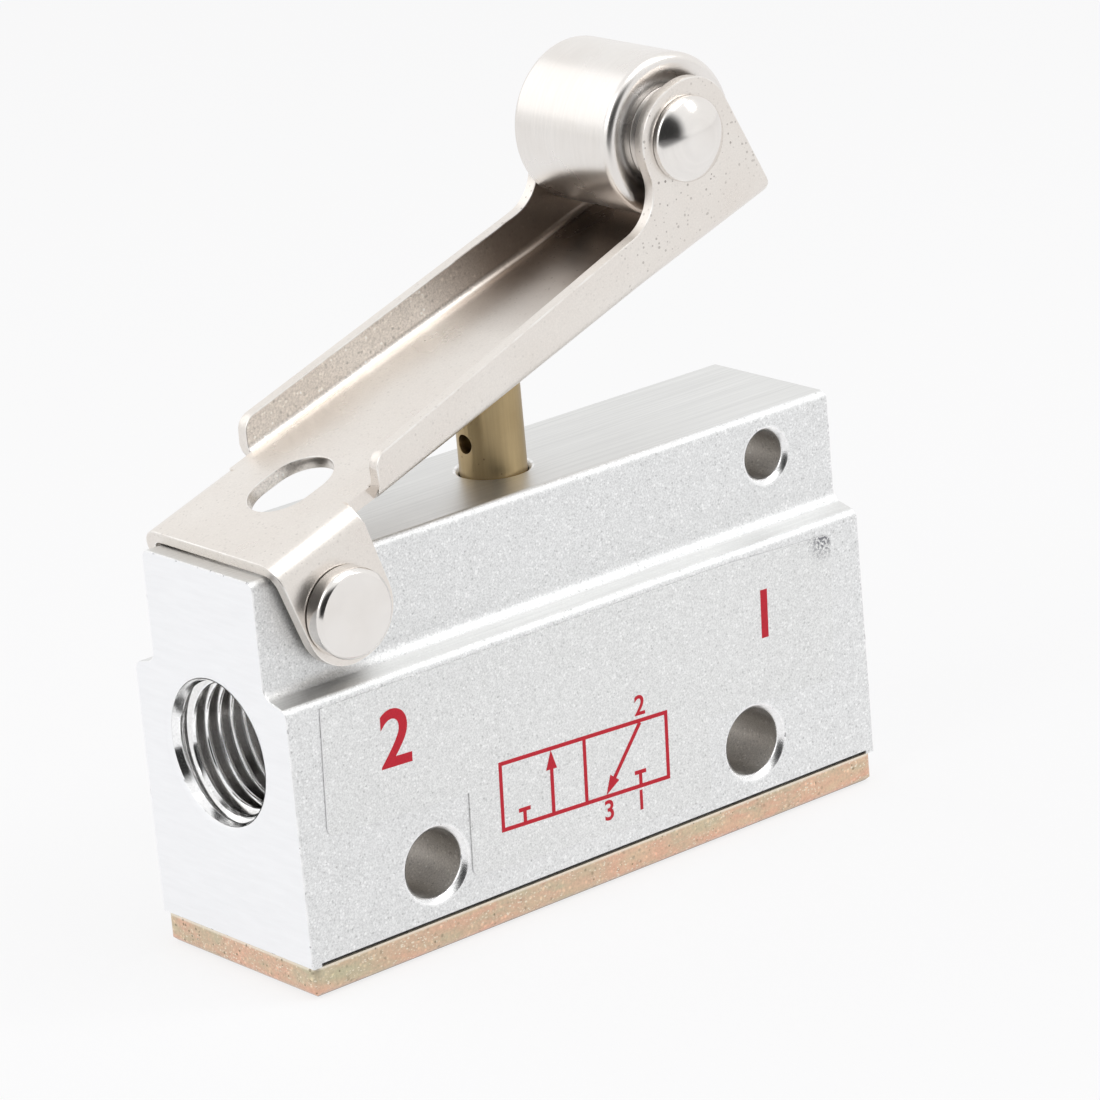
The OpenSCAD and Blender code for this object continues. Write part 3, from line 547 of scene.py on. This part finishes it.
def make_aluminium():
    """Blasted sides, a brushed top and machined ends whose whiter colour is partly painted light, told apart by
    the way a face looks.
    """
    material, tree, shader, coords = start_material("blasted aluminium", metallic=1.0)
    where = coords["Object"]
    facing = add_node(tree, "ShaderNodeSeparateXYZ", {0: coords["Normal"]})
    end_mask = remap(tree, maths(tree, "ABSOLUTE", facing.outputs[0]), 0.75, 0.95)
    top_mask = remap(tree, facing.outputs[2], 0.9, 0.99)
    grain = place_group(tree, SPECKLE, where, scale=6500.0, contrast=0.85, sparkle=0.30, dark=0.22)
    lines = place_group(tree, BRUSHED, stretched(tree, where, (60.0, 3500.0, 3500.0)), contrast=0.35)
    milled = place_group(tree, BRUSHED, stretched(tree, where, (900.0, 260.0, 2200.0)), contrast=0.10)
    cloud = place_group(tree, SMUDGE, where, scale=90.0)["Cloud"]
    edge = place_group(tree, WEAR, where, scale=1400.0, amount=0.9)["Mask"]
    nick = place_group(tree, NICKS, where, scale=1100.0, amount=0.8)["Mask"]
    hole = add_node(tree, "ShaderNodeAttribute", attribute_name="inside").outputs["Fac"]
    mouth = add_node(tree, "ShaderNodeAttribute", attribute_name="mouth").outputs["Fac"]
    side_colour = grey_of(tree, grain["Tone"], (0.835, 0.84, 0.84, 1.0))
    top_colour = grey_of(tree, lines["Tone"], (0.77, 0.77, 0.76, 1.0))
    # The ends' whiter colour is partly their machined finish and partly painted light.
    end_colour_and_painted_light = grey_of(tree, milled["Tone"], (0.95, 0.955, 0.97, 1.0))
    # Painted shade: the bore walls are darker and warmer than the sides.
    bore_painted_shade = grey_of(tree, grain["Tone"], (0.80, 0.775, 0.745, 1.0))
    colour = mix_colours(tree, top_mask, side_colour, top_colour)
    colour = mix_colours(tree, end_mask, colour, end_colour_and_painted_light)
    colour = mix_colours(tree, hole, colour, bore_painted_shade)
    colour = mix_colours(tree, mouth, colour, grey_of(tree, lines["Tone"], (0.90, 0.90, 0.90, 1.0)))
    colour = mix_colours(tree, edge, colour, (0.97, 0.97, 0.97, 1.0))
    colour = mix_colours(tree, nick, colour, (0.30, 0.30, 0.31, 1.0))
    rough = mix_values(tree, end_mask, mix_values(tree, top_mask, 0.50, 0.38), 0.34)
    rough = maths(tree, "ADD", rough, maths(tree, "MULTIPLY", cloud, 0.05))
    rough = mix_values(tree, maths(tree, "MAXIMUM", edge, mouth), rough, 0.25)
    height = mix_values(tree, top_mask, grain["Height"], lines["Height"])
    height = mix_values(tree, end_mask, height, milled["Height"])
    drive(tree, shader, base_color=colour, roughness=rough)
    bump(tree, shader, height, 0.30, 0.03 * MM)
    return material


def make_nickel_sheet():
    """Nickel plate over stamped sheet: warm, pitted at the tip, grainy inside the channel and darkened there with
    a painted shade.
    """
    material, tree, shader, coords = start_material("nickel sheet", metallic=1.0)
    where = coords["Object"]
    facing = add_node(tree, "ShaderNodeSeparateXYZ", {0: coords["Normal"]})
    channel = add_node(tree, "ShaderNodeAttribute", attribute_name="channel").outputs["Fac"]
    wall = maths(tree, "MULTIPLY", channel, remap(tree, maths(tree, "ABSOLUTE", facing.outputs[1]), 0.3, 0.8))
    cloud = place_group(tree, SMUDGE, where, scale=110.0)["Cloud"]
    cluster = place_group(tree, SMUDGE, where, scale=55.0)["Cloud"]
    grain = place_group(tree, SPECKLE, where, scale=6000.0, contrast=0.20, sparkle=0.03, dark=0.08)
    coarse = place_group(tree, SPECKLE, where, scale=5200.0, contrast=0.95, sparkle=0.40, dark=0.30)
    pit = place_group(tree, PITS, where, scale=2300.0, amount=0.62, size=0.34)["Mask"]
    tip = remap(tree, away_from(tree, where, AXLE), *PITTED, 1.0, 0.25)
    pit = maths(tree, "MULTIPLY", pit, maths(tree, "MULTIPLY", remap(tree, cluster, 0.25, 0.7), tip))
    edge = place_group(tree, WEAR, where, scale=700.0, amount=0.7)["Mask"]
    # Painted shade: the channel turns dark brown towards the roller.
    painted_shade = maths(tree, "MULTIPLY", channel, remap(tree, along(tree, where, ARM_LINE), *SHADE_REACH))
    painted_shade = maths(tree, "MULTIPLY", painted_shade, remap(tree, cloud, 0.0, 1.0, 0.92, 0.75))
    plate = mix_colours(tree, cloud, (0.79, 0.74, 0.69, 1.0), (0.835, 0.795, 0.75, 1.0))
    colour = grey_of(tree, mix_values(tree, wall, grain["Tone"], coarse["Tone"]), plate)
    colour = mix_colours(tree, painted_shade, colour, (0.37, 0.31, 0.265, 1.0))
    colour = mix_colours(tree, edge, colour, (0.93, 0.91, 0.88, 1.0))
    colour = mix_colours(tree, maths(tree, "MULTIPLY", pit, 0.85), colour, (0.16, 0.135, 0.12, 1.0))
    rough = remap(tree, cloud, 0.0, 1.0, 0.26, 0.32)
    rough = mix_values(tree, wall, rough, 0.40)
    rough = maths(tree, "ADD", rough, maths(tree, "MULTIPLY", pit, 0.3))
    height = mix_values(tree, wall, grain["Height"], coarse["Height"])
    height = maths(tree, "SUBTRACT", height, maths(tree, "MULTIPLY", pit, 1.5))
    drive(tree, shader, base_color=colour, roughness=rough)
    bump(tree, shader, height, 0.30, 0.03 * MM)
    return material


def make_nickel_turned(name, rough_low, rough_high):
    """Nickel plate over turned steel."""
    material, tree, shader, coords = start_material(name, metallic=1.0)
    where = coords["Object"]
    cloud = place_group(tree, SMUDGE, where, scale=140.0)["Cloud"]
    lines = place_group(tree, BRUSHED, stretched(tree, where, (300.0, 5200.0, 300.0)), contrast=0.12)
    plate = mix_colours(tree, cloud, (0.80, 0.765, 0.73, 1.0), (0.85, 0.825, 0.80, 1.0))
    colour = grey_of(tree, lines["Tone"], plate)
    drive(tree, shader, base_color=colour, roughness=remap(tree, cloud, 0.0, 1.0, rough_low, rough_high))
    bump(tree, shader, lines["Height"], 0.05, 0.02 * MM)
    return material


def make_brass():
    """Satin brass, tarnished, with drawn lines along the plunger and a few dark specks."""
    material, tree, shader, coords = start_material("satin brass", metallic=1.0)
    where = coords["Object"]
    cloud = place_group(tree, SMUDGE, where, scale=160.0)["Cloud"]
    lines = place_group(tree, BRUSHED, stretched(tree, where, (4200.0, 4200.0, 160.0)), contrast=0.3)
    speck = place_group(tree, PITS, where, scale=2200.0, amount=0.16, size=0.30)["Mask"]
    tarnish = mix_colours(tree, cloud, (0.37, 0.275, 0.145, 1.0), (0.48, 0.37, 0.21, 1.0))
    colour = grey_of(tree, lines["Tone"], tarnish)
    colour = mix_colours(tree, maths(tree, "MULTIPLY", speck, 0.6), colour, (0.16, 0.11, 0.06, 1.0))
    drive(tree, shader, base_color=colour, roughness=remap(tree, cloud, 0.0, 1.0, 0.34, 0.44))
    bump(tree, shader, lines["Height"], 0.10, 0.03 * MM)
    return material


def make_zinc():
    """Yellow zinc: pink and copper with olive patches and specks, a painted highlight along the upper edge and a
    painted contact shadow along the lower edge.
    """
    material, tree, shader, coords = start_material("yellow zinc", metallic=0.85)
    where = coords["Object"]
    long_bands = noise(tree, stretched(tree, where, (95.0, 130.0, 260.0)), 1.0, 3.0, 0.55)
    patches = noise(tree, stretched(tree, where, (260.0, 260.0, 700.0), shift=(3.0, 1.0, 5.0)), 1.0, 3.0, 0.6)
    grain = place_group(tree, SPECKLE, where, scale=4500.0, contrast=0.55, sparkle=0.30, dark=0.35)
    pit = place_group(tree, PITS, where, scale=2600.0, amount=0.36, size=0.42)["Mask"]
    flat = stretched(tree, where, (1.0, 1.0, 1.6), shift=(0.3, 0.2, 0.1))
    glint = place_group(tree, PITS, flat, scale=3600.0, amount=0.75, size=0.54)["Mask"]
    rise = add_node(tree, "ShaderNodeSeparateXYZ", {0: where}).outputs[2]
    upper = remap(tree, rise, PLATE_BOTTOM, PLATE_TOP, 0.0, 0.28)
    # Painted highlight along the upper edge and painted contact shadow along the lower edge.
    painted_edge_highlight = remap(tree, rise, PLATE_TOP - PLATE_RIM[1], PLATE_TOP - PLATE_RIM[0], 0.0, 0.75)
    painted_contact_shadow = remap(tree, rise, PLATE_BOTTOM + PLATE_RIM[0], PLATE_BOTTOM + PLATE_RIM[1], 0.95, 0.0)
    blotch = noise(tree, stretched(tree, where, (330.0, 330.0, 800.0)), 1.0, 2.0, 0.6)
    blotch = remap(tree, blotch, 0.40, 0.56, 0.0, 0.8)
    colour = colour_ramp(tree, remap(tree, long_bands, 0.28, 0.72), [
        (0.0, (0.60, 0.53, 0.36, 1.0)), (0.35, (0.72, 0.50, 0.36, 1.0)),
        (0.62, (0.80, 0.47, 0.34, 1.0)), (1.0, (0.74, 0.58, 0.40, 1.0))])
    olive = maths(tree, "MULTIPLY", remap(tree, patches, 0.48, 0.68), 0.5)
    olive = maths(tree, "ADD", olive, upper)
    colour = mix_colours(tree, olive, colour, (0.58, 0.56, 0.40, 1.0))
    colour = grey_of(tree, grain["Tone"], colour)
    colour = mix_colours(tree, maths(tree, "MULTIPLY", glint, blotch), colour, (0.90, 0.83, 0.70, 1.0))
    colour = mix_colours(tree, painted_edge_highlight, colour, (0.93, 0.87, 0.75, 1.0))
    colour = mix_colours(tree, painted_contact_shadow, colour, (0.30, 0.25, 0.22, 1.0))
    colour = mix_colours(tree, maths(tree, "MULTIPLY", pit, 0.65), colour, (0.20, 0.16, 0.10, 1.0))
    drive(tree, shader, base_color=colour, roughness=remap(tree, patches, 0.3, 0.7, 0.34, 0.46))
    bump(tree, shader, grain["Height"], 0.14, 0.03 * MM)
    return material


def make_rubber():
    """Matt black rubber with a fine grain."""
    material, tree, shader, coords = start_material("black rubber", metallic=0.0)
    where = coords["Object"]
    grain = place_group(tree, SPECKLE, where, scale=5000.0, contrast=0.5, sparkle=0.0, dark=0.0)
    colour = grey_of(tree, grain["Tone"], (0.018, 0.018, 0.019, 1.0))
    drive(tree, shader, base_color=colour, roughness=remap(tree, grain["Height"], 0.3, 0.7, 0.55, 0.7))
    bump(tree, shader, grain["Height"], 0.15, 0.03 * MM)
    return material


def make_steel(name, colour, rough_low, rough_high):
    """Plain steel with fine lines and clouds."""
    material, tree, shader, coords = start_material(name, metallic=1.0)
    where = coords["Object"]
    cloud = place_group(tree, SMUDGE, where, scale=200.0)["Cloud"]
    grain = place_group(tree, SPECKLE, where, scale=6000.0, contrast=0.3, sparkle=0.1, dark=0.1)
    drive(
        tree, shader, base_color=grey_of(tree, grain["Tone"], colour),
        roughness=remap(tree, cloud, 0.0, 1.0, rough_low, rough_high))
    bump(tree, shader, grain["Height"], 0.12, 0.02 * MM)
    return material


def make_cut_thread():
    """Freshly cut thread: bright at the mouth and on the crests, with a painted shade down the flanks deeper in
    the port.
    """
    material, tree, shader, coords = start_material("cut thread", metallic=1.0)
    where = coords["Object"]
    parts = add_node(tree, "ShaderNodeSeparateXYZ", {0: where})
    rise = maths(tree, "SUBTRACT", parts.outputs[2], MOUNTS["outlet_port"]["pos_m"][2])
    square = maths(tree, "ADD", maths(tree, "POWER", parts.outputs[1], 2.0), maths(tree, "POWER", rise, 2.0))
    flank = remap(tree, maths(tree, "SQRT", square), *THREAD_BRIGHT)
    deep = remap(tree, maths(tree, "ABSOLUTE", parts.outputs[0]), *THREAD_SHADED)
    cloud = place_group(tree, SMUDGE, where, scale=300.0)["Cloud"]
    grain = place_group(tree, SPECKLE, where, scale=6000.0, contrast=0.3, sparkle=0.1, dark=0.1)
    # Painted shade on the flanks deeper in the port.
    painted_shade = maths(tree, "MULTIPLY", flank, deep)
    colour = mix_colours(tree, painted_shade, (0.95, 0.95, 0.95, 1.0), (0.76, 0.745, 0.73, 1.0))
    drive(
        tree, shader, base_color=grey_of(tree, grain["Tone"], colour),
        roughness=remap(tree, cloud, 0.0, 1.0, 0.10, 0.16))
    bump(tree, shader, grain["Height"], 0.12, 0.02 * MM)
    return material


def make_film():
    """Silver label film with clear cut edges that carry a painted light: the blasted grain shows through it,
    softened.
    """
    material, tree, shader, coords = start_material("label film", coat_weight=0.12)
    where = coords["Object"]
    grain = place_group(tree, SPECKLE, where, scale=6500.0, contrast=0.85, sparkle=0.24, dark=0.20)
    cloud = place_group(tree, SMUDGE, where, scale=70.0)["Cloud"]
    edge = add_node(tree, "ShaderNodeAttribute", attribute_name="rounded_edges").outputs["Fac"]
    near = remap(tree, away_from(tree, where, STAIN_PLACE), STAIN_SIZE, 0.2 * STAIN_SIZE)
    stain = maths(tree, "MULTIPLY", near, remap(tree, noise(tree, where, 3500.0, 3.0, 0.7), 0.46, 0.56))
    colour = grey_of(tree, grain["Tone"], (0.825, 0.83, 0.825, 1.0))
    # Painted light: the cut edges are lighter.
    colour = mix_colours(tree, edge, colour, (0.92, 0.92, 0.92, 1.0))
    colour = mix_colours(tree, stain, colour, (0.22, 0.22, 0.24, 1.0))
    metal = mix_values(tree, edge, 0.9, 0.0)
    drive(tree, shader, base_color=colour, metallic=metal, roughness=remap(tree, cloud, 0.0, 1.0, 0.44, 0.54))
    bump(tree, shader, grain["Height"], 0.22, 0.03 * MM)
    return material


def make_red_print():
    """Red ink of uneven depth."""
    material, tree, shader, coords = start_material("red print", metallic=0.0, specular_ior_level=0.25)
    where = coords["Object"]
    grain = place_group(tree, SPECKLE, where, scale=6000.0, contrast=0.5, sparkle=0.1, dark=0.1)
    colour = grey_of(tree, grain["Tone"], (0.60, 0.018, 0.036, 1.0))
    drive(tree, shader, base_color=colour, roughness=remap(tree, grain["Height"], 0.3, 0.7, 0.40, 0.55))
    return material


ALUMINIUM = make_aluminium()
NICKEL_SHEET = make_nickel_sheet()
NICKEL_TURNED = make_nickel_turned("nickel turned", 0.24, 0.31)
NICKEL_POLISHED = make_nickel_turned("nickel polished", 0.13, 0.19)
BRASS = make_brass()
ZINC = make_zinc()
RUBBER = make_rubber()
SPRING_STEEL = make_steel("spring steel", (0.62, 0.62, 0.62, 1.0), 0.22, 0.34)
CUT_THREAD = make_cut_thread()
CLIP_STEEL = make_steel("clip steel", (0.13, 0.125, 0.12, 1.0), 0.34, 0.46)
SCREW_STEEL = make_steel("screw steel", (0.60, 0.56, 0.46, 1.0), 0.28, 0.40)
FILM = make_film()
RED_PRINT = make_red_print()


# Pieces from the CAD nodes

# Softened pieces: node, width of the rounding in millimetres, finish, body and slot
SOFT_PIECES = [
    ("valve_body", 0.14, ALUMINIUM, "housing", "aluminium"),
    ("base_plate", 0.22, ZINC, "housing", "zinc_steel"),
    ("base_screws", 0.10, SCREW_STEEL, "housing", "screw_steel"),
    ("lever", 0.12, NICKEL_SHEET, "lever_arm", "nickel_sheet"),
    ("roller", 0.12, NICKEL_TURNED, "roller_wheel", "nickel_turned"),
    ("roller_axle", 0.12, NICKEL_POLISHED, "lever_arm", "nickel_turned"),
    ("pivot_pin", 0.12, NICKEL_POLISHED, "housing", "nickel_turned"),
    ("pivot_clip", 0.08, CLIP_STEEL, "housing", "clip_steel"),
    ("plunger", 0.10, BRASS, "plunger_stem", "brass"),
    ("label", 0.05, FILM, "housing", "label_film"),
]
for node, width, material, body, slot in SOFT_PIECES:
    soften(node, width * MM, material, body)

# Nodes that keep their own mesh and only take a finish
PLAIN_NODES = {
    "base_gasket": RUBBER, "seat_ring": RUBBER, "poppet_seal": RUBBER, "plunger_ring": RUBBER,
    "valve_seat": BRASS, "poppet": BRASS, "axle_sleeve": SPRING_STEEL, "roller_washers": SPRING_STEEL,
}
for node, material in PLAIN_NODES.items():
    frame["nodes"][node].data.materials.clear()
    frame["nodes"][node].data.materials.append(material)


# Port threads

def wind_thread():
    """Turns of the thread's ridge, wound up the Z axis from one pitch below the mouth."""
    turns = math.ceil(RUN_OUT_DEPTH / THREAD_PITCH) + 1
    bm = bmesh.new()
    points = [
        (THREAD_WALL - rise * THREAD_HEIGHT, 0.0, share * THREAD_PITCH) for share, rise in THREAD_RIDGE]
    line = [bm.verts.new(point) for point in points]
    edges = [bm.edges.new(pair) for pair in zip(line, line[1:])]
    bmesh.ops.subdivide_edges(bm, edges=edges, cuts=THREAD_CUTS)
    bmesh.ops.spin(
        bm, geom=bm.verts[:] + bm.edges[:], cent=(0, 0, 0), axis=(0, 0, 1),
        dvec=(0, 0, THREAD_PITCH / THREAD_STEPS), angle=math.tau, steps=THREAD_STEPS, use_merge=False)
    first_turn = bm.verts[:] + bm.edges[:] + bm.faces[:]
    for count in range(1, turns):
        copied = bmesh.ops.duplicate(bm, geom=first_turn)["geom"]
        verts = [item for item in copied if isinstance(item, bmesh.types.BMVert)]
        bmesh.ops.translate(bm, verts=verts, vec=(0, 0, count * THREAD_PITCH))
    bmesh.ops.remove_doubles(bm, verts=bm.verts, dist=MERGE)
    bmesh.ops.translate(bm, verts=bm.verts, vec=(0, 0, -THREAD_PITCH))
    return bm


def cut_thread(bm):
    """Cuts the ridge back at the port's mouth and lets it run out at the bottom."""
    for cut, side in ((BEVEL_DEPTH, -1.0), (RUN_OUT_DEPTH, 1.0)):
        bmesh.ops.bisect_plane(
            bm, geom=bm.verts[:] + bm.edges[:] + bm.faces[:], plane_co=(0, 0, cut),
            plane_no=(0, 0, side), clear_outer=True)
    for vert in bm.verts:
        radius = math.hypot(vert.co.x, vert.co.y)
        start = (vert.co.z - BEVEL_DEPTH) * START_SLOPE
        least = THREAD_WALL - min(start, RUN_OUT_DEPTH - vert.co.z)
        if radius < least:
            vert.co.x *= least / radius
            vert.co.y *= least / radius


def port_thread(name, mount):
    """Pipe thread on the wall of a port, which faces the port's axis."""
    bm = wind_thread()
    cut_thread(bm)
    bmesh.ops.recalc_face_normals(bm, faces=bm.faces)
    bm.faces.ensure_lookup_table()
    sample = bm.faces[0]
    if sample.normal.dot(sample.calc_center_median() * Vector((1, 1, 0))) > 0:
        bmesh.ops.reverse_faces(bm, faces=bm.faces)
    outward = Vector(mount["axis"])
    mouth = Vector((outward.x * BODY_HIGH.x, mount["pos_m"][1], mount["pos_m"][2]))
    turn = (-outward).to_track_quat("Z", "Y").to_matrix().to_4x4()
    bmesh.ops.transform(bm, matrix=Matrix.Translation(mouth) @ turn, verts=bm.verts)
    add_piece(name, finish_mesh(bm, name), CUT_THREAD, "housing")


port_thread("outlet_thread", MOUNTS["outlet_port"])
port_thread("inlet_thread", MOUNTS["inlet_port"])


# Springs

def coil_spring(name, node, wire, turns):
    """Round wire spring with a closed turn at each end."""
    low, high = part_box(node)
    mean = (high.x - low.x - wire) / 2
    bm = bmesh.new()
    ring = bmesh.ops.create_circle(bm, cap_ends=False, radius=wire / 2, segments=WIRE_SIDES)["verts"]
    bmesh.ops.rotate(bm, verts=ring, cent=(0, 0, 0), matrix=Matrix.Rotation(math.pi / 2, 3, "X"))
    bmesh.ops.translate(bm, verts=ring, vec=(mean, 0, low.z + wire / 2))
    geom = ring + list({edge for vert in ring for edge in vert.link_edges})
    open_turns = turns - 2
    # Both closed turns and the wire's own thickness take three wires of the height
    rise = (high.z - low.z - 3 * wire) / open_turns
    for count, pitch in ((1, wire), (open_turns, rise), (1, wire)):
        spun = bmesh.ops.spin(
            bm, geom=geom, cent=(0, 0, 0), axis=(0, 0, 1), dvec=(0, 0, pitch / COIL_STEPS),
            angle=math.tau * count, steps=COIL_STEPS * count, use_merge=False)
        geom = [item for item in spun["geom_last"] if not isinstance(item, bmesh.types.BMFace)]
    bmesh.ops.remove_doubles(bm, verts=bm.verts, dist=MERGE)
    bmesh.ops.holes_fill(bm, edges=bm.edges, sides=0)
    bmesh.ops.recalc_face_normals(bm, faces=bm.faces)
    piece = add_piece(name, finish_mesh(bm, name), SPRING_STEEL, "housing", [node])
    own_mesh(piece)


for name, node, wire, turns, joint in SPRINGS:
    coil_spring(name, node, wire, turns)


# Flow symbol and port numerals printed on the label

def print_piece(bm, name):
    """Puts print from the symbol's own plane, in x and y, onto the label's face."""
    place = Matrix.Translation((SYMBOL_PLACE.x, LABEL_LOW.y, SYMBOL_PLACE.z))
    upright = Matrix.Rotation(math.pi / 2, 4, "X")
    tilt = Matrix.Rotation(PRINT_TILT, 4, "Y")
    bmesh.ops.transform(bm, matrix=place @ tilt @ upright, verts=bm.verts)
    add_piece(name, finish_mesh(bm, name), RED_PRINT, "housing")


def add_stroke(bm, start, end, thick=PRINT_T):
    """One straight printed line with square ends."""
    start, end = Vector(start), Vector(end)
    line = end - start
    made = bmesh.ops.create_cube(bm, size=1.0)["verts"]
    place = Matrix.Translation(((start + end) / 2).to_3d() + Vector((0, 0, thick / 2)))
    turn = Matrix.Rotation(math.atan2(line.y, line.x), 4, "Z")
    size = Matrix.Diagonal((line.length, STROKE, thick, 1.0))
    bmesh.ops.transform(bm, matrix=place @ turn @ size, verts=made)


def add_arrow(bm, start, end):
    """A printed line with a filled head at its end, laid over the lines that it meets."""
    start, end = Vector(start), Vector(end)
    heading = (end - start).normalized()
    add_stroke(bm, start, end - heading * ARROW_L, ARROW_T)
    made = bmesh.ops.create_cone(
        bm, cap_ends=True, segments=3, radius1=1.0, radius2=1.0, depth=ARROW_T)["verts"]
    size = Matrix.Diagonal((ARROW_L * 2 / 3, ARROW_W / math.sqrt(3), 1.0, 1.0))
    turn = Matrix.Rotation(math.atan2(heading.y, heading.x), 4, "Z")
    middle = end - heading * ARROW_L * 2 / 3
    place = Matrix.Translation(middle.to_3d() + Vector((0, 0, ARROW_T / 2)))
    point = Matrix.Rotation(-math.pi / 2, 4, "Z")
    bmesh.ops.transform(bm, matrix=place @ turn @ size @ point, verts=made)


def flow_symbol():
    """Two-box flow symbol: through flow on the left, exhaust and a closed inlet on the right."""
    half_l, half_h = SYMBOL_L / 2, SYMBOL_H / 2
    inner = half_h - STROKE / 2
    bm = bmesh.new()
    for y in (-half_h, half_h):
        add_stroke(bm, (-half_l - STROKE / 2, y), (half_l + STROKE / 2, y))
    for x in (-half_l, 0.0, half_l):
        add_stroke(bm, (x, -inner), (x, inner))
    add_arrow(bm, (FLOW_AT * half_l, -inner), (FLOW_AT * half_l, inner))
    add_arrow(bm, (EXHAUST_FROM * half_l, inner), (EXHAUST_TO * half_l, -inner))
    bar = -half_h + CLOSED_H
    for share in CLOSED_AT:
        x = share * half_l
        add_stroke(bm, (x, -inner), (x, bar - STROKE / 2))
        add_stroke(bm, (x - CLOSED_W / 2, bar), (x + CLOSED_W / 2, bar))
    print_piece(bm, "flow_symbol")


def numeral(name, figure, place, height):
    """A port numeral, printed as flat as the symbol."""
    curve = bpy.data.curves.new(name, "FONT")
    curve.body = figure
    curve.align_x = "CENTER"
    curve.align_y = "CENTER"
    curve.size = height / FIGURE_SHARE
    curve.offset = FIGURE_BOLD * height
    curve.extrude = PRINT_T / 2
    source = bpy.data.objects.new(name, curve)
    mesh = bpy.data.meshes.new_from_object(source)
    bpy.data.objects.remove(source)
    bm = bmesh.new()
    bm.from_mesh(mesh)
    bpy.data.meshes.remove(mesh)
    bmesh.ops.translate(bm, verts=bm.verts, vec=(*place, PRINT_T / 2))
    print_piece(bm, name)


flow_symbol()
for name, figure, place, height in NUMERALS:
    numeral(name, figure, place, height)


# Studio

def reflected(tree):
    """1 for rays that reach the backdrop by way of metal or glass."""
    path = tree.nodes.new("ShaderNodeLightPath")
    return maths(tree, "MAXIMUM", path.outputs["Is Glossy Ray"], path.outputs["Is Transmission Ray"])


def seen(tree):
    """1 for rays that show the backdrop itself."""
    return tree.nodes.new("ShaderNodeLightPath").outputs["Is Camera Ray"]


def make_paper():
    """White paper that takes a shadow, with an unlit part in front that only metal reflects."""
    material = bpy.data.materials.new("white sweep")
    material.use_nodes = True
    tree = material.node_tree
    tree.nodes.clear()
    where = tree.nodes.new("ShaderNodeTexCoord").outputs["Object"]
    front = Vector((DARK_SIDE.x, DARK_SIDE.y, 0.0)).normalized()
    aside = maths(tree, "ABSOLUTE", along(tree, where, (front.y, -front.x, 0.0)))
    reach = maths(tree, "SUBTRACT", along(tree, where, front), maths(tree, "MULTIPLY", aside, DARK_NARROW))
    by_metal = reflected(tree)
    level = mix_values(tree, by_metal, 1.0, remap(tree, reach, *DARK_FLOOR, 1.0, DARK_LEVEL))
    paper = add_node(tree, "ShaderNodeBsdfDiffuse", {"Color": PAPER_WHITE})
    glow = add_node(tree, "ShaderNodeEmission", {"Color": (1.0, 1.0, 1.0, 1.0), "Strength": level})
    shown = maths(tree, "MAXIMUM", seen(tree), by_metal)
    share = maths(tree, "MULTIPLY", shown, BACKDROP_WHITE)
    mix = add_node(tree, "ShaderNodeMixShader", {0: share, 1: paper.outputs[0], 2: glow.outputs[0]})
    output = tree.nodes.new("ShaderNodeOutputMaterial")
    tree.links.new(mix.outputs[0], output.inputs["Surface"])
    return material


def make_floor():
    """The sheet of paper that the valve stands on."""
    bm = bmesh.new()
    bmesh.ops.create_grid(bm, x_segments=1, y_segments=1, size=FLOOR_SIZE / 2)
    bmesh.ops.translate(bm, verts=bm.verts, vec=(0, 0, cad_low.z - FLOOR_GAP))
    mesh = bpy.data.meshes.new("floor")
    bm.to_mesh(mesh)
    bm.free()
    mesh.materials.append(make_paper())
    floor = bpy.data.objects.new("floor", mesh)
    bpy.context.scene.collection.objects.link(floor)


def make_world():
    """A white tent, open on the side of the unlit room."""
    world = bpy.data.worlds.new("light tent")
    world.use_nodes = True
    bpy.context.scene.world = world
    tree = world.node_tree
    tree.nodes.clear()
    direction = tree.nodes.new("ShaderNodeTexCoord").outputs["Generated"]
    dark = remap(tree, along(tree, direction, DARK_SIDE), *DARK_CONE, 1.0, DARK_LEVEL)
    level = mix_values(tree, reflected(tree), WORLD_STRENGTH, dark)
    level = mix_values(tree, seen(tree), level, 1.0)
    tent = add_node(tree, "ShaderNodeBackground", {"Color": (1.0, 1.0, 1.0, 1.0), "Strength": level})
    output = tree.nodes.new("ShaderNodeOutputWorld")
    tree.links.new(tent.outputs[0], output.inputs["Surface"])


def area_light(name, place, size, power):
    """A square soft box that looks at the middle of the valve."""
    lamp = bpy.data.lights.new(name, "AREA")
    lamp.shape = "SQUARE"
    lamp.size = size
    lamp.energy = power
    light = bpy.data.objects.new(name, lamp)
    bpy.context.scene.collection.objects.link(light)
    middle = (cad_low + cad_high) / 2
    light.location = place
    light.rotation_mode = "QUATERNION"
    light.rotation_quaternion = (Vector(place) - middle).to_track_quat("Z", "Y")


def make_camera():
    """The photograph's viewpoint."""
    azimuth, elevation = math.radians(CAMERA_AZIMUTH), math.radians(CAMERA_ELEVATION)
    back = Vector((
        math.sin(azimuth) * math.cos(elevation),
        -math.cos(azimuth) * math.cos(elevation),
        math.sin(elevation)))
    level = Vector((math.cos(azimuth), math.sin(azimuth), 0.0))
    right = Matrix.Rotation(math.radians(CAMERA_ROLL), 3, back) @ level
    up = back.cross(right)
    camera_data = bpy.data.cameras.new("camera")
    camera_data.lens = CAMERA_LENS
    camera_data.clip_start = CAMERA_NEAR
    camera = bpy.data.objects.new("camera", camera_data)
    turn = Matrix((right, up, back)).transposed().to_4x4()
    camera.matrix_world = Matrix.Translation(CAMERA_PLACE) @ turn
    bpy.context.scene.collection.objects.link(camera)
    bpy.context.scene.camera = camera


make_floor()
make_world()
for name, place, size, power in LAMPS:
    area_light(name, place, size, power)
make_camera()
bpy.context.scene.view_settings.view_transform = "Standard"
